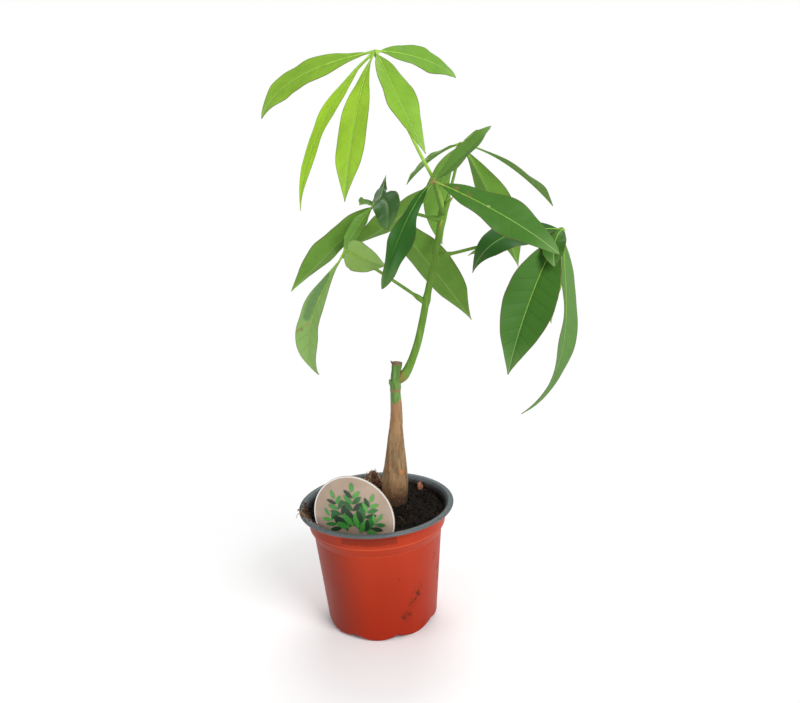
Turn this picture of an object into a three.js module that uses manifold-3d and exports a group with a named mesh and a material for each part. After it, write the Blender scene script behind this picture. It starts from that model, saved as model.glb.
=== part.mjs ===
// A young money tree (Pachira aquatica) growing in its plastic nursery pot.
//
// Units are millimetres and +Z is up. The origin is the middle of the pot's underside, so the
// plant stands on the plane z = 0. -Y is the front, the side of the plant label, and +X is right.
// Every compound leaf is one solid: its stalk, the hub at the stalk's end and the leaflets that
// spread from the hub. Leaf, green shoot, trunk, soil, label and pot stay separate solids that
// stand a hair apart, and a solid that sits on another is cut by a slightly grown copy of it.
import * as THREE from 'three';
import { mergeVertices } from 'three/addons/utils/BufferGeometryUtils.js';
import Module from 'manifold-3d';

const wasm = await Module();
wasm.setup();

// ---------------------------------------------------------------- driving dimensions

const seatGap = 0.3;            // clearance between two pieces that touch on the real plant
const turn = 2 * Math.PI;

const potHeight = 94;
const rimRadius = 60;           // outer edge of the rolled lip
const lipWidth = 4.8;
const lipDepth = 3;
const collarRadius = 54;        // just under the lip
const collarHeight = 15.5;      // from the rim down to the step
const stepHeight = 6;           // the sloping shoulder under the collar
const bodyTopRadius = 49.7;
const footRadius = 43;
const potWall = 1.1;
const padRadius = 20;           // flat middle of the underside, which the pot stands on
const drainChannel = [23, 35];  // inner and outer radius of the raised channel in the floor
const channelHeight = 3;
const footLobes = 8;
const drainWidth = 8;
const drainHeight = 3.4;
const drainCut = 14;            // how deep each arch reaches in from outside the foot
const drainPhase = 0.36;        // turns the ring of drains, in lobes
const potSides = 40;

const soilLevel = 85;
const soilFloor = 4.5;
const soilRings = [9, 18, 26, 33, 40, 46, 51.5];
const soilMound = { x: -4, y: 38, height: 16, spread: 9 };
const soilCollar = { height: 5.5, radius: 9, spread: 9 };  // heaped round the trunk's foot
const soilRoughness = 0.5;

const trunkFoot = { x: 13.5, y: 5, radius: 10.2, bottom: 55 };
const trunkHole = { radius: 11.2, length: 60 };
const stemSides = 12;
const petioleSides = 7;
const budSides = 6;
const budSteps = 4;
const budArch = 0.6;            // rise of a bud's middle over the straight line
const petioleRadius = 1.15;
const pulvinusRadius = 2;       // swollen joint where a stalk leaves the stem
const pulvinusLength = 9;
const hubRadius = 2.4;

const bladeSteps = 9;           // stations along a leaflet
const bladeAcross = [-1, -0.5, 0, 0.5, 1];
const bladeEdge = 0.6;          // thickness at the margin
const ribDepth = 0.9;           // how much thicker the blade is at its midrib, on the underside
const ownStalk = 0.05;          // share of a leaflet's length that is its own short stalk
const leastHalfWidth = 0.8;     // of that stalk, and of the leaflet's tip

const labelRadius = 31.5;
const labelCentre = new THREE.Vector3(-15.1, -39.2, 99.5);
const labelYaw = 20 * Math.PI / 180;
const labelThickness = 0.8;
const labelCut = 14;            // the disc is cut flat this far under its centre
const stakeWidth = 14;
const stakeLength = 52;         // from the disc's centre to the stake's tip
const pointLength = 8;          // of the stake's pointed end

// ---------------------------------------------------------------- solids

// A closed mesh as a manifold solid: shared corners are merged and collapsed faces dropped.
function solidOf(geometry) {
  const bare = geometry.clone();
  bare.deleteAttribute('normal');
  bare.deleteAttribute('uv');
  const merged = mergeVertices(bare, 1e-4);
  const corners = merged.index.array;
  const faces = [];
  for (let i = 0; i < corners.length; i += 3) {
    const [a, b, c] = [corners[i], corners[i + 1], corners[i + 2]];
    if (a !== b && b !== c && c !== a) faces.push(a, b, c);
  }
  return new wasm.Manifold(new wasm.Mesh({
    numProp: 3,
    vertProperties: new Float32Array(merged.attributes.position.array),
    triVerts: new Uint32Array(faces),
  }));
}

// The largest body of a solid, so that no loose chip of a cut stays behind.
function mainBody(solid) {
  return solid.decompose().reduce((best, body) => (body.volume() > best.volume() ? body : best));
}

function geometryOf(solid) {
  const mesh = mainBody(solid).getMesh();
  const geometry = new THREE.BufferGeometry();
  geometry.setAttribute('position', new THREE.BufferAttribute(new Float32Array(mesh.vertProperties), 3));
  geometry.setIndex(new THREE.BufferAttribute(new Uint32Array(mesh.triVerts), 1));
  geometry.computeVertexNormals();
  return geometry;
}

function fuse(solids) {
  return solids.reduce((whole, next) => whole.add(next));
}

// Closed skin through rings of equal count, each ring anticlockwise as seen from the far end.
function loft(rings) {
  const count = rings[0].length;
  const points = rings.flat();
  const faces = [];
  for (let r = 0; r + 1 < rings.length; r += 1) {
    for (let k = 0; k < count; k += 1) {
      const a = r * count + k;
      const b = r * count + (k + 1) % count;
      faces.push(a, b, b + count, a, b + count, a + count);
    }
  }
  const last = (rings.length - 1) * count;
  for (let k = 1; k + 1 < count; k += 1) {
    faces.push(0, k + 1, k, last, last + k, last + k + 1);
  }
  const geometry = new THREE.BufferGeometry();
  geometry.setAttribute('position', new THREE.Float32BufferAttribute(points.flatMap((p) => p.toArray()), 3));
  geometry.setIndex(faces);
  return geometry;
}

// Round stem along a smooth route; radiusAt(share of the length) gives its thickness.
function stem(route, radiusAt, sides, steps) {
  const curve = new THREE.CatmullRomCurve3(route.map((p) => new THREE.Vector3(...p)), false, 'centripetal');
  const frames = curve.computeFrenetFrames(steps, false);
  const rings = [];
  for (let i = 0; i <= steps; i += 1) {
    const share = i / steps;
    const centre = curve.getPointAt(share);
    const ring = [];
    for (let k = 0; k < sides; k += 1) {
      const angle = turn * k / sides;
      const across = frames.normals[i].clone().multiplyScalar(Math.cos(angle));
      const along = frames.binormals[i].clone().multiplyScalar(Math.sin(angle));
      ring.push(centre.clone().addScaledVector(across.add(along), radiusAt(share, angle)));
    }
    rings.push(ring);
  }
  return loft(rings);
}

// The same route made longer at both ends, for the grown copy that cuts a neighbour.
function lengthened(route, extra) {
  const points = route.map((p) => new THREE.Vector3(...p));
  const push = (end, next) => end.addScaledVector(end.clone().sub(next).normalize(), extra);
  push(points[0], points[1]);
  push(points[points.length - 1], points[points.length - 2]);
  return points.map((p) => p.toArray());
}

function ball(centre, radius) {
  return new THREE.SphereGeometry(radius, 8, 6).translate(...centre);
}

// A straight line through [share, value] stops.
function ramp(stops, share) {
  const next = stops.findIndex(([at]) => at >= share);
  if (next <= 0) return stops[next === 0 ? 0 : stops.length - 1][1];
  const [[fromAt, from], [toAt, to]] = [stops[next - 1], stops[next]];
  return THREE.MathUtils.mapLinear(share, fromAt, toAt, from, to);
}

function bump(value, centre, width) {
  return Math.exp(-(((value - centre) / width) ** 2));
}

// ---------------------------------------------------------------- pot

const top = potHeight;
const potOutside = [
  [padRadius, 0], [drainChannel[0], channelHeight], [drainChannel[1], channelHeight],
  [drainChannel[1] + 3, 0], [footRadius - 1.4, 0], [footRadius - 0.4, 0.5], [footRadius, 1.8],
  [bodyTopRadius, top - collarHeight - stepHeight],
  [collarRadius - 1.2, top - collarHeight], [collarRadius, top - lipDepth - 1.5],
  [collarRadius + 1, top - lipDepth], [rimRadius - 1, top - lipDepth + 0.2], [rimRadius, top - 1.6],
  [rimRadius - 0.5, top - 0.5], [rimRadius - 1.6, top],
];
const potInside = [
  [rimRadius - lipWidth + 0.6, top - 0.1], [rimRadius - lipWidth, top - 0.8],
  [collarRadius - potWall, top - lipDepth - 1.5],
  [collarRadius - 1.2 - potWall, top - collarHeight],
  [bodyTopRadius - potWall, top - collarHeight - stepHeight],
  [footRadius - potWall, 2.4], [footRadius - potWall - 0.8, potWall],
  [drainChannel[1] + 3, potWall], [drainChannel[1], channelHeight + potWall],
  [drainChannel[0], channelHeight + potWall], [padRadius, potWall],
];

function turned(profile) {
  const points = profile.map(([radius, height]) => new THREE.Vector2(radius, height));
  return new THREE.LatheGeometry(points, potSides).rotateX(Math.PI / 2);
}

function drainArch(angle) {
  const half = drainWidth / 2;
  const corners = [
    [-half, -1], [half, -1],
    [half * 0.7, drainHeight * 0.7], [0, drainHeight], [-half * 0.7, drainHeight * 0.7],
  ];
  const arch = new THREE.Shape(corners.map(([x, y]) => new THREE.Vector2(x, y)));
  return new THREE.ExtrudeGeometry(arch, { depth: drainCut, bevelEnabled: false })
    .rotateX(Math.PI / 2)
    .translate(0, footRadius + 8, 0)
    .rotateZ(angle);
}

function pot() {
  const shell = solidOf(turned([[0, 0], ...potOutside, ...potInside, [0, potWall]]));
  const arches = [];
  for (let lobe = 0; lobe < footLobes; lobe += 1) {
    arches.push(solidOf(drainArch(turn * (lobe + drainPhase) / footLobes)));
  }
  return arches.reduce((body, arch) => body.subtract(arch), shell);
}

// Radius of the pot's inner wall at a height.
function innerRadius(height) {
  const wall = potInside.filter(([radius]) => radius > drainChannel[1] + 3).map(([radius, z]) => [z, radius]);
  return ramp(wall.reverse(), height);
}

// ---------------------------------------------------------------- trunk and shoot

// Share of the trunk's length against its radius: a buried foot, a swollen base and a cut top.
const trunkRadii = [
  [0, trunkFoot.radius - 1.5], [0.07, trunkFoot.radius], [0.25, trunkFoot.radius], [0.36, 9.8], [0.46, 8.6],
  [0.55, 6.6], [0.65, 5], [0.75, 4.3], [0.85, 3.9], [0.93, 3.9], [1, 3.8],
];
const trunkRoute = [
  [trunkFoot.x, trunkFoot.y, trunkFoot.bottom], [13.6, 5, 84], [14.8, 5, 100], [16.4, 4.5, 120],
  [18.2, 4, 145], [19.4, 4, 165], [19.9, 4, 185], [22, 4, 202.5],
];

const trunkSteps = 26;
// Swellings of the bark as [share of the length, height, width]: two old leaf scars, the band
// where the green top begins and the callus round the cut.
const trunkSwellings = [[0.44, 0.3, 0.03], [0.6, 0.4, 0.03], [0.87, 0.35, 0.012], [1, 0.35, 0.02]];
const deadBudRoute = [[18, 3.4, 184], [16.4, 2.6, 187], [15.6, 2.2, 190]];
const deadBudRadii = [[0, 2], [0.6, 1.5], [1, 0.5]];

function swelling(list, share) {
  return list.reduce((sum, [at, height, width]) => sum + height * bump(share, at, width), 0);
}

function trunk(extra = 0) {
  const trunkRadius = (share) => ramp(trunkRadii, share) + swelling(trunkSwellings, share) + extra;
  const budRadius = (share) => ramp(deadBudRadii, share) + extra;
  const wood = solidOf(stem(lengthened(trunkRoute, extra), trunkRadius, stemSides, trunkSteps));
  const deadBud = solidOf(stem(lengthened(deadBudRoute, extra), budRadius, petioleSides, budSteps));
  return wood.add(deadBud);
}

const shootRoute = [
  [21, 4, 188], [26, 3.5, 191.5], [31, 3, 199], [37.5, 2, 215], [42, 2, 231], [46, 2, 248],
  [50, 2, 264], [54, 2, 280], [57, 2, 294], [59.5, 2.5, 306.5], [61, 3, 316.5],
];
const shootSteps = 24;
const shootRadii = [[0, 3.2], [0.08, 3.3], [0.16, 2.9], [0.5, 2.6], [0.85, 2.3], [0.97, 2.5], [1, 1.6]];
const shootNodes = [[0.49, 0.5, 0.02], [0.74, 0.5, 0.02], [0.95, 0.5, 0.025]];

// Unfolding leaves and stipules at the growing tip: slim pointed solids that leave the stem.
const tipBuds = [
  { from: [61.5, 3, 312], to: [68.5, -1, 322], radius: 1.3 },
  { from: [61.5, 3.5, 310], to: [67.5, 2, 329], radius: 1.2 },
  { from: [60.5, 2, 306], to: [57.5, -3.5, 301.5], radius: 1 },
];

function tipBud({ from, to, radius }, extra) {
  const middle = [(from[0] + to[0]) / 2, (from[1] + to[1]) / 2, (from[2] + to[2]) / 2 + budArch];
  const radiusAt = (share) => radius * (1.05 - 0.85 * share ** 2) + extra;
  return solidOf(stem(lengthened([from, middle, to], extra), radiusAt, budSides, budSteps));
}

function shoot(extra = 0) {
  const radiusAt = (share) => ramp(shootRadii, share) + swelling(shootNodes, share) + extra;
  const green = solidOf(stem(lengthened(shootRoute, extra), radiusAt, stemSides, shootSteps));
  return fuse([green, ...tipBuds.map((bud) => tipBud(bud, extra))]);
}

// ---------------------------------------------------------------- leaves

// A leaflet hangs from the hub along a curve to its tip. `arch` is how far the middle of its
// midrib rises above the straight line, `bend` the share of its length where it bends most, and
// `lean` how far it swings sideways. `roll` turns the blade about its midrib, `twist` adds to
// that towards the tip, `fold` lifts both halves into a V, and `wave` is the height of the
// ripple along its margins. `belly` is the share of the length where the blade is widest, and a
// smaller `full` makes its ends blunter.
function midrib(hub, { tip, arch, lean = 0, bend = 0.4 }) {
  const start = new THREE.Vector3(...hub);
  const end = new THREE.Vector3(...tip);
  const chord = end.clone().sub(start);
  const line = chord.clone().normalize();
  const up = new THREE.Vector3(0, 0, 1).addScaledVector(line, -line.z).normalize();
  const side = new THREE.Vector3().crossVectors(line, up);
  const control = (share, lift) => start.clone().addScaledVector(chord, share)
    .addScaledVector(up, arch * lift).addScaledVector(side, lean * 4 / 3);
  const first = control(0.25, 8 / 3 * (1 - bend));
  const second = control(0.7, 8 / 3 * bend);
  return { curve: new THREE.CubicBezierCurve3(start, first, second, end), up };
}

// Half width of a leaflet as a share of its greatest: a short stalk, then widest at `belly`.
function outline(share, belly, full) {
  const along = (at) => Math.max(0, (at - ownStalk) / (1 - ownStalk));
  const power = Math.log(0.5) / Math.log(along(belly));
  return Math.max(0, Math.sin(Math.PI * along(share) ** power)) ** full;
}

function leaflet(hub, shape) {
  const { width, belly = 0.56, full = 1.1, roll = 0, twist = 0, fold = 14, wave = 1 } = shape;
  const { curve, up } = midrib(hub, shape);
  const upper = [];
  const lower = [];
  for (let i = 0; i <= bladeSteps; i += 1) {
    const share = i / bladeSteps;
    const centre = curve.getPoint(share);
    const forward = curve.getTangent(share);
    const level = new THREE.Vector3().crossVectors(forward, up).normalize();
    const across = level.clone().applyAxisAngle(forward, (roll + twist * share) * Math.PI / 180);
    const face = new THREE.Vector3().crossVectors(across, forward);
    const half = Math.max(leastHalfWidth, width / 2 * outline(share, belly, full));
    const slope = fold * Math.PI / 180;
    for (const q of bladeAcross) {
      const ripple = wave * q * q * Math.sin(turn * (2.5 * share + 0.2 * Math.sign(q))) * half / (width / 2);
      const lift = half * Math.abs(q) * Math.sin(slope) + ripple;
      const point = centre.clone().addScaledVector(across, half * q * Math.cos(slope));
      point.addScaledVector(face, lift);
      const depth = bladeEdge + ribDepth * (1 - Math.abs(q)) ** 2 * (1 - 0.8 * share);
      upper.push(point);
      lower.push(point.clone().addScaledVector(face, -depth));
    }
  }
  return solidOf(bladeSkin(upper, lower));
}

// Upper and lower faces are split into triangles alike, and a strip of faces joins them all round.
function bladeSkin(upper, lower) {
  const wide = bladeAcross.length;
  const under = upper.length;
  const faces = [];
  for (let i = 0; i < bladeSteps; i += 1) {
    for (let k = 0; k + 1 < wide; k += 1) {
      const a = i * wide + k;
      const [b, c, d] = [a + 1, a + wide, a + wide + 1];
      faces.push(a, b, d, a, d, c);
      faces.push(under + a, under + d, under + b, under + a, under + c, under + d);
    }
    const [left, right] = [i * wide, i * wide + wide - 1];
    faces.push(left, left + wide, under + left + wide, left, under + left + wide, under + left);
    faces.push(right, under + right + wide, right + wide, right, under + right, under + right + wide);
  }
  for (let k = 0; k + 1 < wide; k += 1) {
    const end = bladeSteps * wide + k;
    faces.push(k, under + k + 1, k + 1, k, under + k, under + k + 1);
    faces.push(end, end + 1, under + end + 1, end, under + end + 1, under + end);
  }
  const geometry = new THREE.BufferGeometry();
  const points = [...upper, ...lower].flatMap((p) => p.toArray());
  geometry.setAttribute('position', new THREE.Float32BufferAttribute(points, 3));
  geometry.setIndex(faces);
  return geometry;
}

function petiole(route) {
  const length = new THREE.CatmullRomCurve3(route.map((p) => new THREE.Vector3(...p))).getLength();
  const joint = pulvinusLength / length;
  const swelling = [[0, pulvinusRadius], [joint * 0.7, pulvinusRadius], [joint * 1.4, petioleRadius],
    [0.93, petioleRadius], [1, hubRadius * 0.8]];
  const steps = Math.max(7, Math.round(length / 11));
  return solidOf(stem(route, (share) => ramp(swelling, share), petioleSides, steps));
}

// Each leaf: its stalk's route from inside the stem to the hub, then the leaflets' tips.
const leaves = {
  leaf_top: {
    colour: 0x93c83f,
    stalk: [[60.5, 3, 314], [58.5, 1, 325], [54, -4, 336], [45, -9, 354], [30, -15, 388], [19, -18, 418]],
    leaflets: [
      { tip: [-59, -22, 379], arch: 10, bend: 0.75, width: 21, roll: -50, fold: 0, belly: 0.6, full: 0.85 },
      { tip: [-35, -48, 318], arch: 11, bend: 0.56, width: 18, roll: -8, fold: 2, belly: 0.5 },
      { tip: [-5, -62, 322], arch: 8, lean: -1, width: 22, belly: 0.62 },
      { tip: [48, -52, 349], arch: 6, lean: 7, width: 23, roll: 10, belly: 0.54 },
      { tip: [75, 14, 404], arch: 5, bend: 0.65, width: 22, roll: 55, fold: 0, belly: 0.6, full: 0.85 },
    ],
  },
  leaf_front: {
    colour: 0x2f6b33,
    stalk: [[61, 3, 310], [59, -6, 314], [56, -22, 322], [52, -46, 332]],
    leaflets: [
      { tip: [97, 6, 369], arch: -1, width: 13, roll: -80, fold: 15, full: 0.75 },
      { tip: [127, -74, 283], arch: 3.5, bend: 0.6, width: 27, roll: 45, fold: 6, belly: 0.58, full: 0.9, wave: 1.8 },
      { tip: [16, -86, 269], arch: 6, width: 17, roll: -70, fold: 30, belly: 0.66, full: 0.75, wave: 3 },
      { tip: [-12, 9, 289], arch: -4, lean: 3, width: 22, roll: 20, belly: 0.5 },
    ],
  },
  leaf_back: {
    colour: 0x4f8a3c,
    stalk: [[61, 3, 312], [65, 10, 320], [72, 24, 338], [79, 40, 361]],
    leaflets: [
      { tip: [36, 28, 333], arch: 4, width: 16, roll: 0, wave: 0.5 },
      { tip: [111, 104, 377], arch: 0, width: 7, roll: 40 },
      { tip: [62, 44, 286], arch: 8, lean: -5, width: 26, roll: 40 },
      { tip: [125, 62, 264], arch: 4, width: 31, roll: -20 },
      { tip: [152, 54, 311], arch: 7, width: 22, roll: 5, belly: 0.72 },
    ],
  },
  leaf_right: {
    colour: 0x3b7a39,
    stalk: [[56, 2, 281.5], [64, 0, 281.5], [83, 0, 285], [115, -4, 291], [145, -8, 295]],
    leaflets: [
      { tip: [98, -42, 200], arch: 4, lean: 2, width: 39, roll: -45, fold: 24, belly: 0.54 },
      { tip: [114, -2, 158], arch: -17, bend: 0.85, width: 25, roll: -150, belly: 0.48 },
      { tip: [134, -28, 271], arch: 5, lean: 2, width: 17, fold: 10, full: 0.8 },
      { tip: [78, -20, 269], arch: 13, bend: 0.7, width: 30, roll: -35, fold: 0, belly: 0.5 },
      { tip: [80, 25, 278], arch: 5, width: 20, roll: -35, fold: 0 },
      { tip: [144, 32, 221], arch: 2, width: 20, roll: -40, fold: 6 },
    ],
  },
  leaf_upper_left: {
    colour: 0x43803c,
    stalk: [[60, 2.5, 306], [52, 3, 308], [36, 3, 313], [13, -6, 320]],
    leaflets: [
      { tip: [21, -66, 304], arch: 8, lean: -4, width: 20, roll: 36, fold: 4, belly: 0.56, full: 0.8 },
      { tip: [21, 42, 341], arch: -4, width: 12, roll: -20, belly: 0.32 },
      { tip: [0, 40, 320], arch: 1, width: 11, roll: 30 },
      { tip: [83, 40, 226], arch: 3, width: 33, roll: -30 },
      { tip: [-11, -18, 289], arch: 2, lean: -2, width: 11, roll: -50, belly: 0.6 },
      { tip: [-55, 18, 259], arch: 0, width: 29, roll: 20, belly: 0.5, full: 0.8 },
    ],
  },
  leaf_lower_left: {
    colour: 0x4d8c3f,
    stalk: [[45, 2, 247], [36.5, 0, 254], [18, -10, 269], [-9, -24, 290]],
    leaflets: [
      { tip: [18, -62, 281], arch: -1, width: 21, roll: 75, belly: 0.36, full: 0.8 },
      { tip: [-34, -26, 203], arch: 12, bend: 0.8, width: 23, roll: -45, belly: 0.66, full: 0.95 },
      { tip: [2, 60, 276], arch: -4, width: 24 },
    ],
  },
};

function leaf({ stalk, leaflets }) {
  const hub = stalk[stalk.length - 1];
  const blades = leaflets.map((shape) => leaflet(hub, shape));
  return fuse([petiole(stalk), solidOf(ball(hub, hubRadius)), ...blades]).subtract(shoot(seatGap));
}

// ---------------------------------------------------------------- label and soil

// Card disc that runs down into a pointed stake, drawn upright in its own plane.
function labelCard(extra = 0) {
  const radius = labelRadius + extra;
  const cut = labelCut + extra;
  const cutAngle = Math.asin(cut / radius);
  const half = stakeWidth / 2 + extra;
  const shoulder = stakeWidth * 0.4 + extra;
  const card = new THREE.Shape();
  card.absarc(0, 0, radius, -cutAngle, Math.PI + cutAngle, false);
  card.lineTo(-half, -cut);
  card.lineTo(-shoulder, pointLength - stakeLength);
  card.lineTo(0, -stakeLength - 2 * extra);
  card.lineTo(shoulder, pointLength - stakeLength);
  card.lineTo(half, -cut);
  const thickness = labelThickness + 2 * extra;
  return new THREE.ExtrudeGeometry(card, { depth: thickness, bevelEnabled: false, curveSegments: 28 })
    .translate(0, 0, -thickness / 2)
    .rotateX(Math.PI / 2)
    .rotateZ(-labelYaw)
    .translate(...labelCentre);
}

function soilHeight(x, y) {
  const heap = soilMound.height * bump(Math.hypot(x - soilMound.x, y - soilMound.y), 0, soilMound.spread);
  const fromTrunk = Math.hypot(x - trunkFoot.x, y - trunkFoot.y);
  const collar = soilCollar.height * bump(fromTrunk, soilCollar.radius, soilCollar.spread);
  const rough = Math.sin(0.41 * x + 0.23 * y) + Math.sin(0.37 * y - 0.29 * x + 1);
  return soilLevel + heap + collar + soilRoughness * rough;
}

function soil() {
  const wallRadius = (height) => (innerRadius(height) - seatGap) * Math.cos(Math.PI / potSides);
  const shoulder = top - collarHeight;
  const wallHeights = [soilFloor, soilLevel / 2, shoulder - stepHeight, shoulder, soilLevel - 4];
  const ringAt = (radius, heightAt) => {
    const ring = [];
    for (let k = 0; k < potSides; k += 1) {
      const [x, y] = [radius * Math.cos(turn * k / potSides), radius * Math.sin(turn * k / potSides)];
      ring.push(new THREE.Vector3(x, y, heightAt(x, y)));
    }
    return ring;
  };
  const side = wallHeights.map((height) => ringAt(wallRadius(height), () => height));
  const surface = [...soilRings].reverse().map((radius) => ringAt(radius, soilHeight));
  const middle = ringAt(0.2, soilHeight);
  const body = solidOf(loft([...side, ...surface, middle]));
  const hole = new THREE.CylinderGeometry(trunkHole.radius, trunkHole.radius, trunkHole.length, 24)
    .rotateX(Math.PI / 2)
    .translate(trunkFoot.x, trunkFoot.y, trunkFoot.bottom - seatGap + trunkHole.length / 2);
  return body.subtract(solidOf(hole)).subtract(solidOf(labelCard(seatGap)));
}

// ---------------------------------------------------------------- the plant

function piece(name, solid, colour, roughness) {
  const material = new THREE.MeshStandardMaterial({ color: colour, roughness, metalness: 0 });
  const mesh = new THREE.Mesh(geometryOf(solid), material);
  mesh.name = name;
  return mesh;
}

const plant = new THREE.Group();
plant.add(piece('pot', pot(), 0xaa3019, 0.45));
plant.add(piece('soil', soil(), 0x2a1d14, 0.95));
plant.add(piece('trunk', trunk(), 0x8a7350, 0.8));
plant.add(piece('shoot', shoot().subtract(trunk(seatGap)), 0x5d9e3a, 0.5));
plant.add(piece('plant_label', solidOf(labelCard()), 0xd9c9a8, 0.5));
for (const [name, shape] of Object.entries(leaves)) {
  plant.add(piece(name, leaf(shape), shape.colour, 0.45));
}

export default plant;
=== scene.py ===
# %% [markdown]
# # A potted money tree
# A young money tree (Pachira) stands in a plastic nursery pot with a plant label in its soil.
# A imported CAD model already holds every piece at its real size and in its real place. This
# script gives the pieces their looks: a finer mesh for each, and a finish made of shader nodes.
#
# Blender works in metres. A plant is easier to describe in millimetres, so lengths below are
# written in millimetres and multiplied by `mm` where they become a mesh or a node's value.

# %% Load the CAD frame
import math
import random

import bmesh
import bpy
from mathutils import Matrix, Vector, geometry, noise


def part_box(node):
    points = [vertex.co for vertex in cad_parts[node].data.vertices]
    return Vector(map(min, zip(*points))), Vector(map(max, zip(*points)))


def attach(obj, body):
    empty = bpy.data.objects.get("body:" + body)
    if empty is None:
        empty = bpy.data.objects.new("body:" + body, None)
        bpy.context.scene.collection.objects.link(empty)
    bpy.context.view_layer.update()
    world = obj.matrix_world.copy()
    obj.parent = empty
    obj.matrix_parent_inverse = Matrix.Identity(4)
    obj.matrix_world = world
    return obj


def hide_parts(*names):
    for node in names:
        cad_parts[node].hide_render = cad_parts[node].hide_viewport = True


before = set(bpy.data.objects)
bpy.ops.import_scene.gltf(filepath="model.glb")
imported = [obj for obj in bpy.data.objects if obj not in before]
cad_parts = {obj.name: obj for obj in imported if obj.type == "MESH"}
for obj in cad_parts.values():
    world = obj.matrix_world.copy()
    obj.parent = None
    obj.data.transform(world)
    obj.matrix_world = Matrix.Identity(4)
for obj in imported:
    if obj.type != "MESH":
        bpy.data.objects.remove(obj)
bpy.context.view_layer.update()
mm = 0.001
dice = random.Random(7)

# %% [markdown]
# ## Where the camera stands
# The photograph was taken from slightly above the plant's middle, half a metre away, with the
# camera held a few degrees off level. A wide view from close by makes the near leaflets larger
# than the far ones, so the distance matters as much as the angle. The camera's three axes are
# worked out from the pitch and the roll, and become the columns of its matrix.

# %% Add the camera
CAMERA_PLACE = Vector((24.7, -509.6, 319.3)) * mm
PITCH_DOWN = math.radians(11.95)
ROLL = math.radians(-3.12)
LENS = 31.5
SENSOR = 36


def add_camera():
    forward = Vector((0, math.cos(PITCH_DOWN), -math.sin(PITCH_DOWN)))
    upright = Vector((1, 0, 0)).cross(forward)
    right = Vector((1, 0, 0)) * math.cos(ROLL) + upright * math.sin(ROLL)
    turned = Matrix((right, right.cross(forward), -forward)).transposed().to_4x4()
    bpy.ops.object.camera_add()
    camera = bpy.context.object
    camera.data.lens = LENS
    camera.data.sensor_width = SENSOR
    camera.matrix_world = Matrix.Translation(CAMERA_PLACE) @ turned
    bpy.context.scene.camera = camera
    return camera


print("camera:", add_camera().name)

# %% [markdown]
# ## Shader maths that reads like arithmetic
# A finish is a small network of nodes. Written out node by node it is long and hard to read, so
# two small classes help. `Link` wraps the output of a node and overloads the arithmetic
# operators: `1 - mask * 0.5` then adds the Math nodes by itself. `Finish` is one material. Its
# method `node` adds any other node from its type, its settings and what feeds its sockets, and
# the methods below it name what the finishes need again and again.

# %% Define the shader helpers
SPOT_CORE = 0.35


class Link:
    """A node's output that can be used in a sum as if it were a number."""

    def __init__(self, finish, output):
        self.finish = finish
        self.output = output

    def maths(self, operation, first, second=0.0):
        return self.finish.node("Math", {"operation": operation}, {0: first, 1: second})

    def __add__(self, other):
        return self.maths("ADD", self, other)

    def __sub__(self, other):
        return self.maths("SUBTRACT", self, other)

    def __rsub__(self, other):
        return self.maths("SUBTRACT", other, self)

    def __mul__(self, other):
        return self.maths("MULTIPLY", self, other)

    def __abs__(self):
        return self.maths("ABSOLUTE", self)

    def __mod__(self, other):
        return self.maths("FLOORED_MODULO", self, other)

    def over(self, other):
        """The larger of the two."""
        return self.maths("MAXIMUM", self, other)

    __radd__ = __add__
    __rmul__ = __mul__


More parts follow.
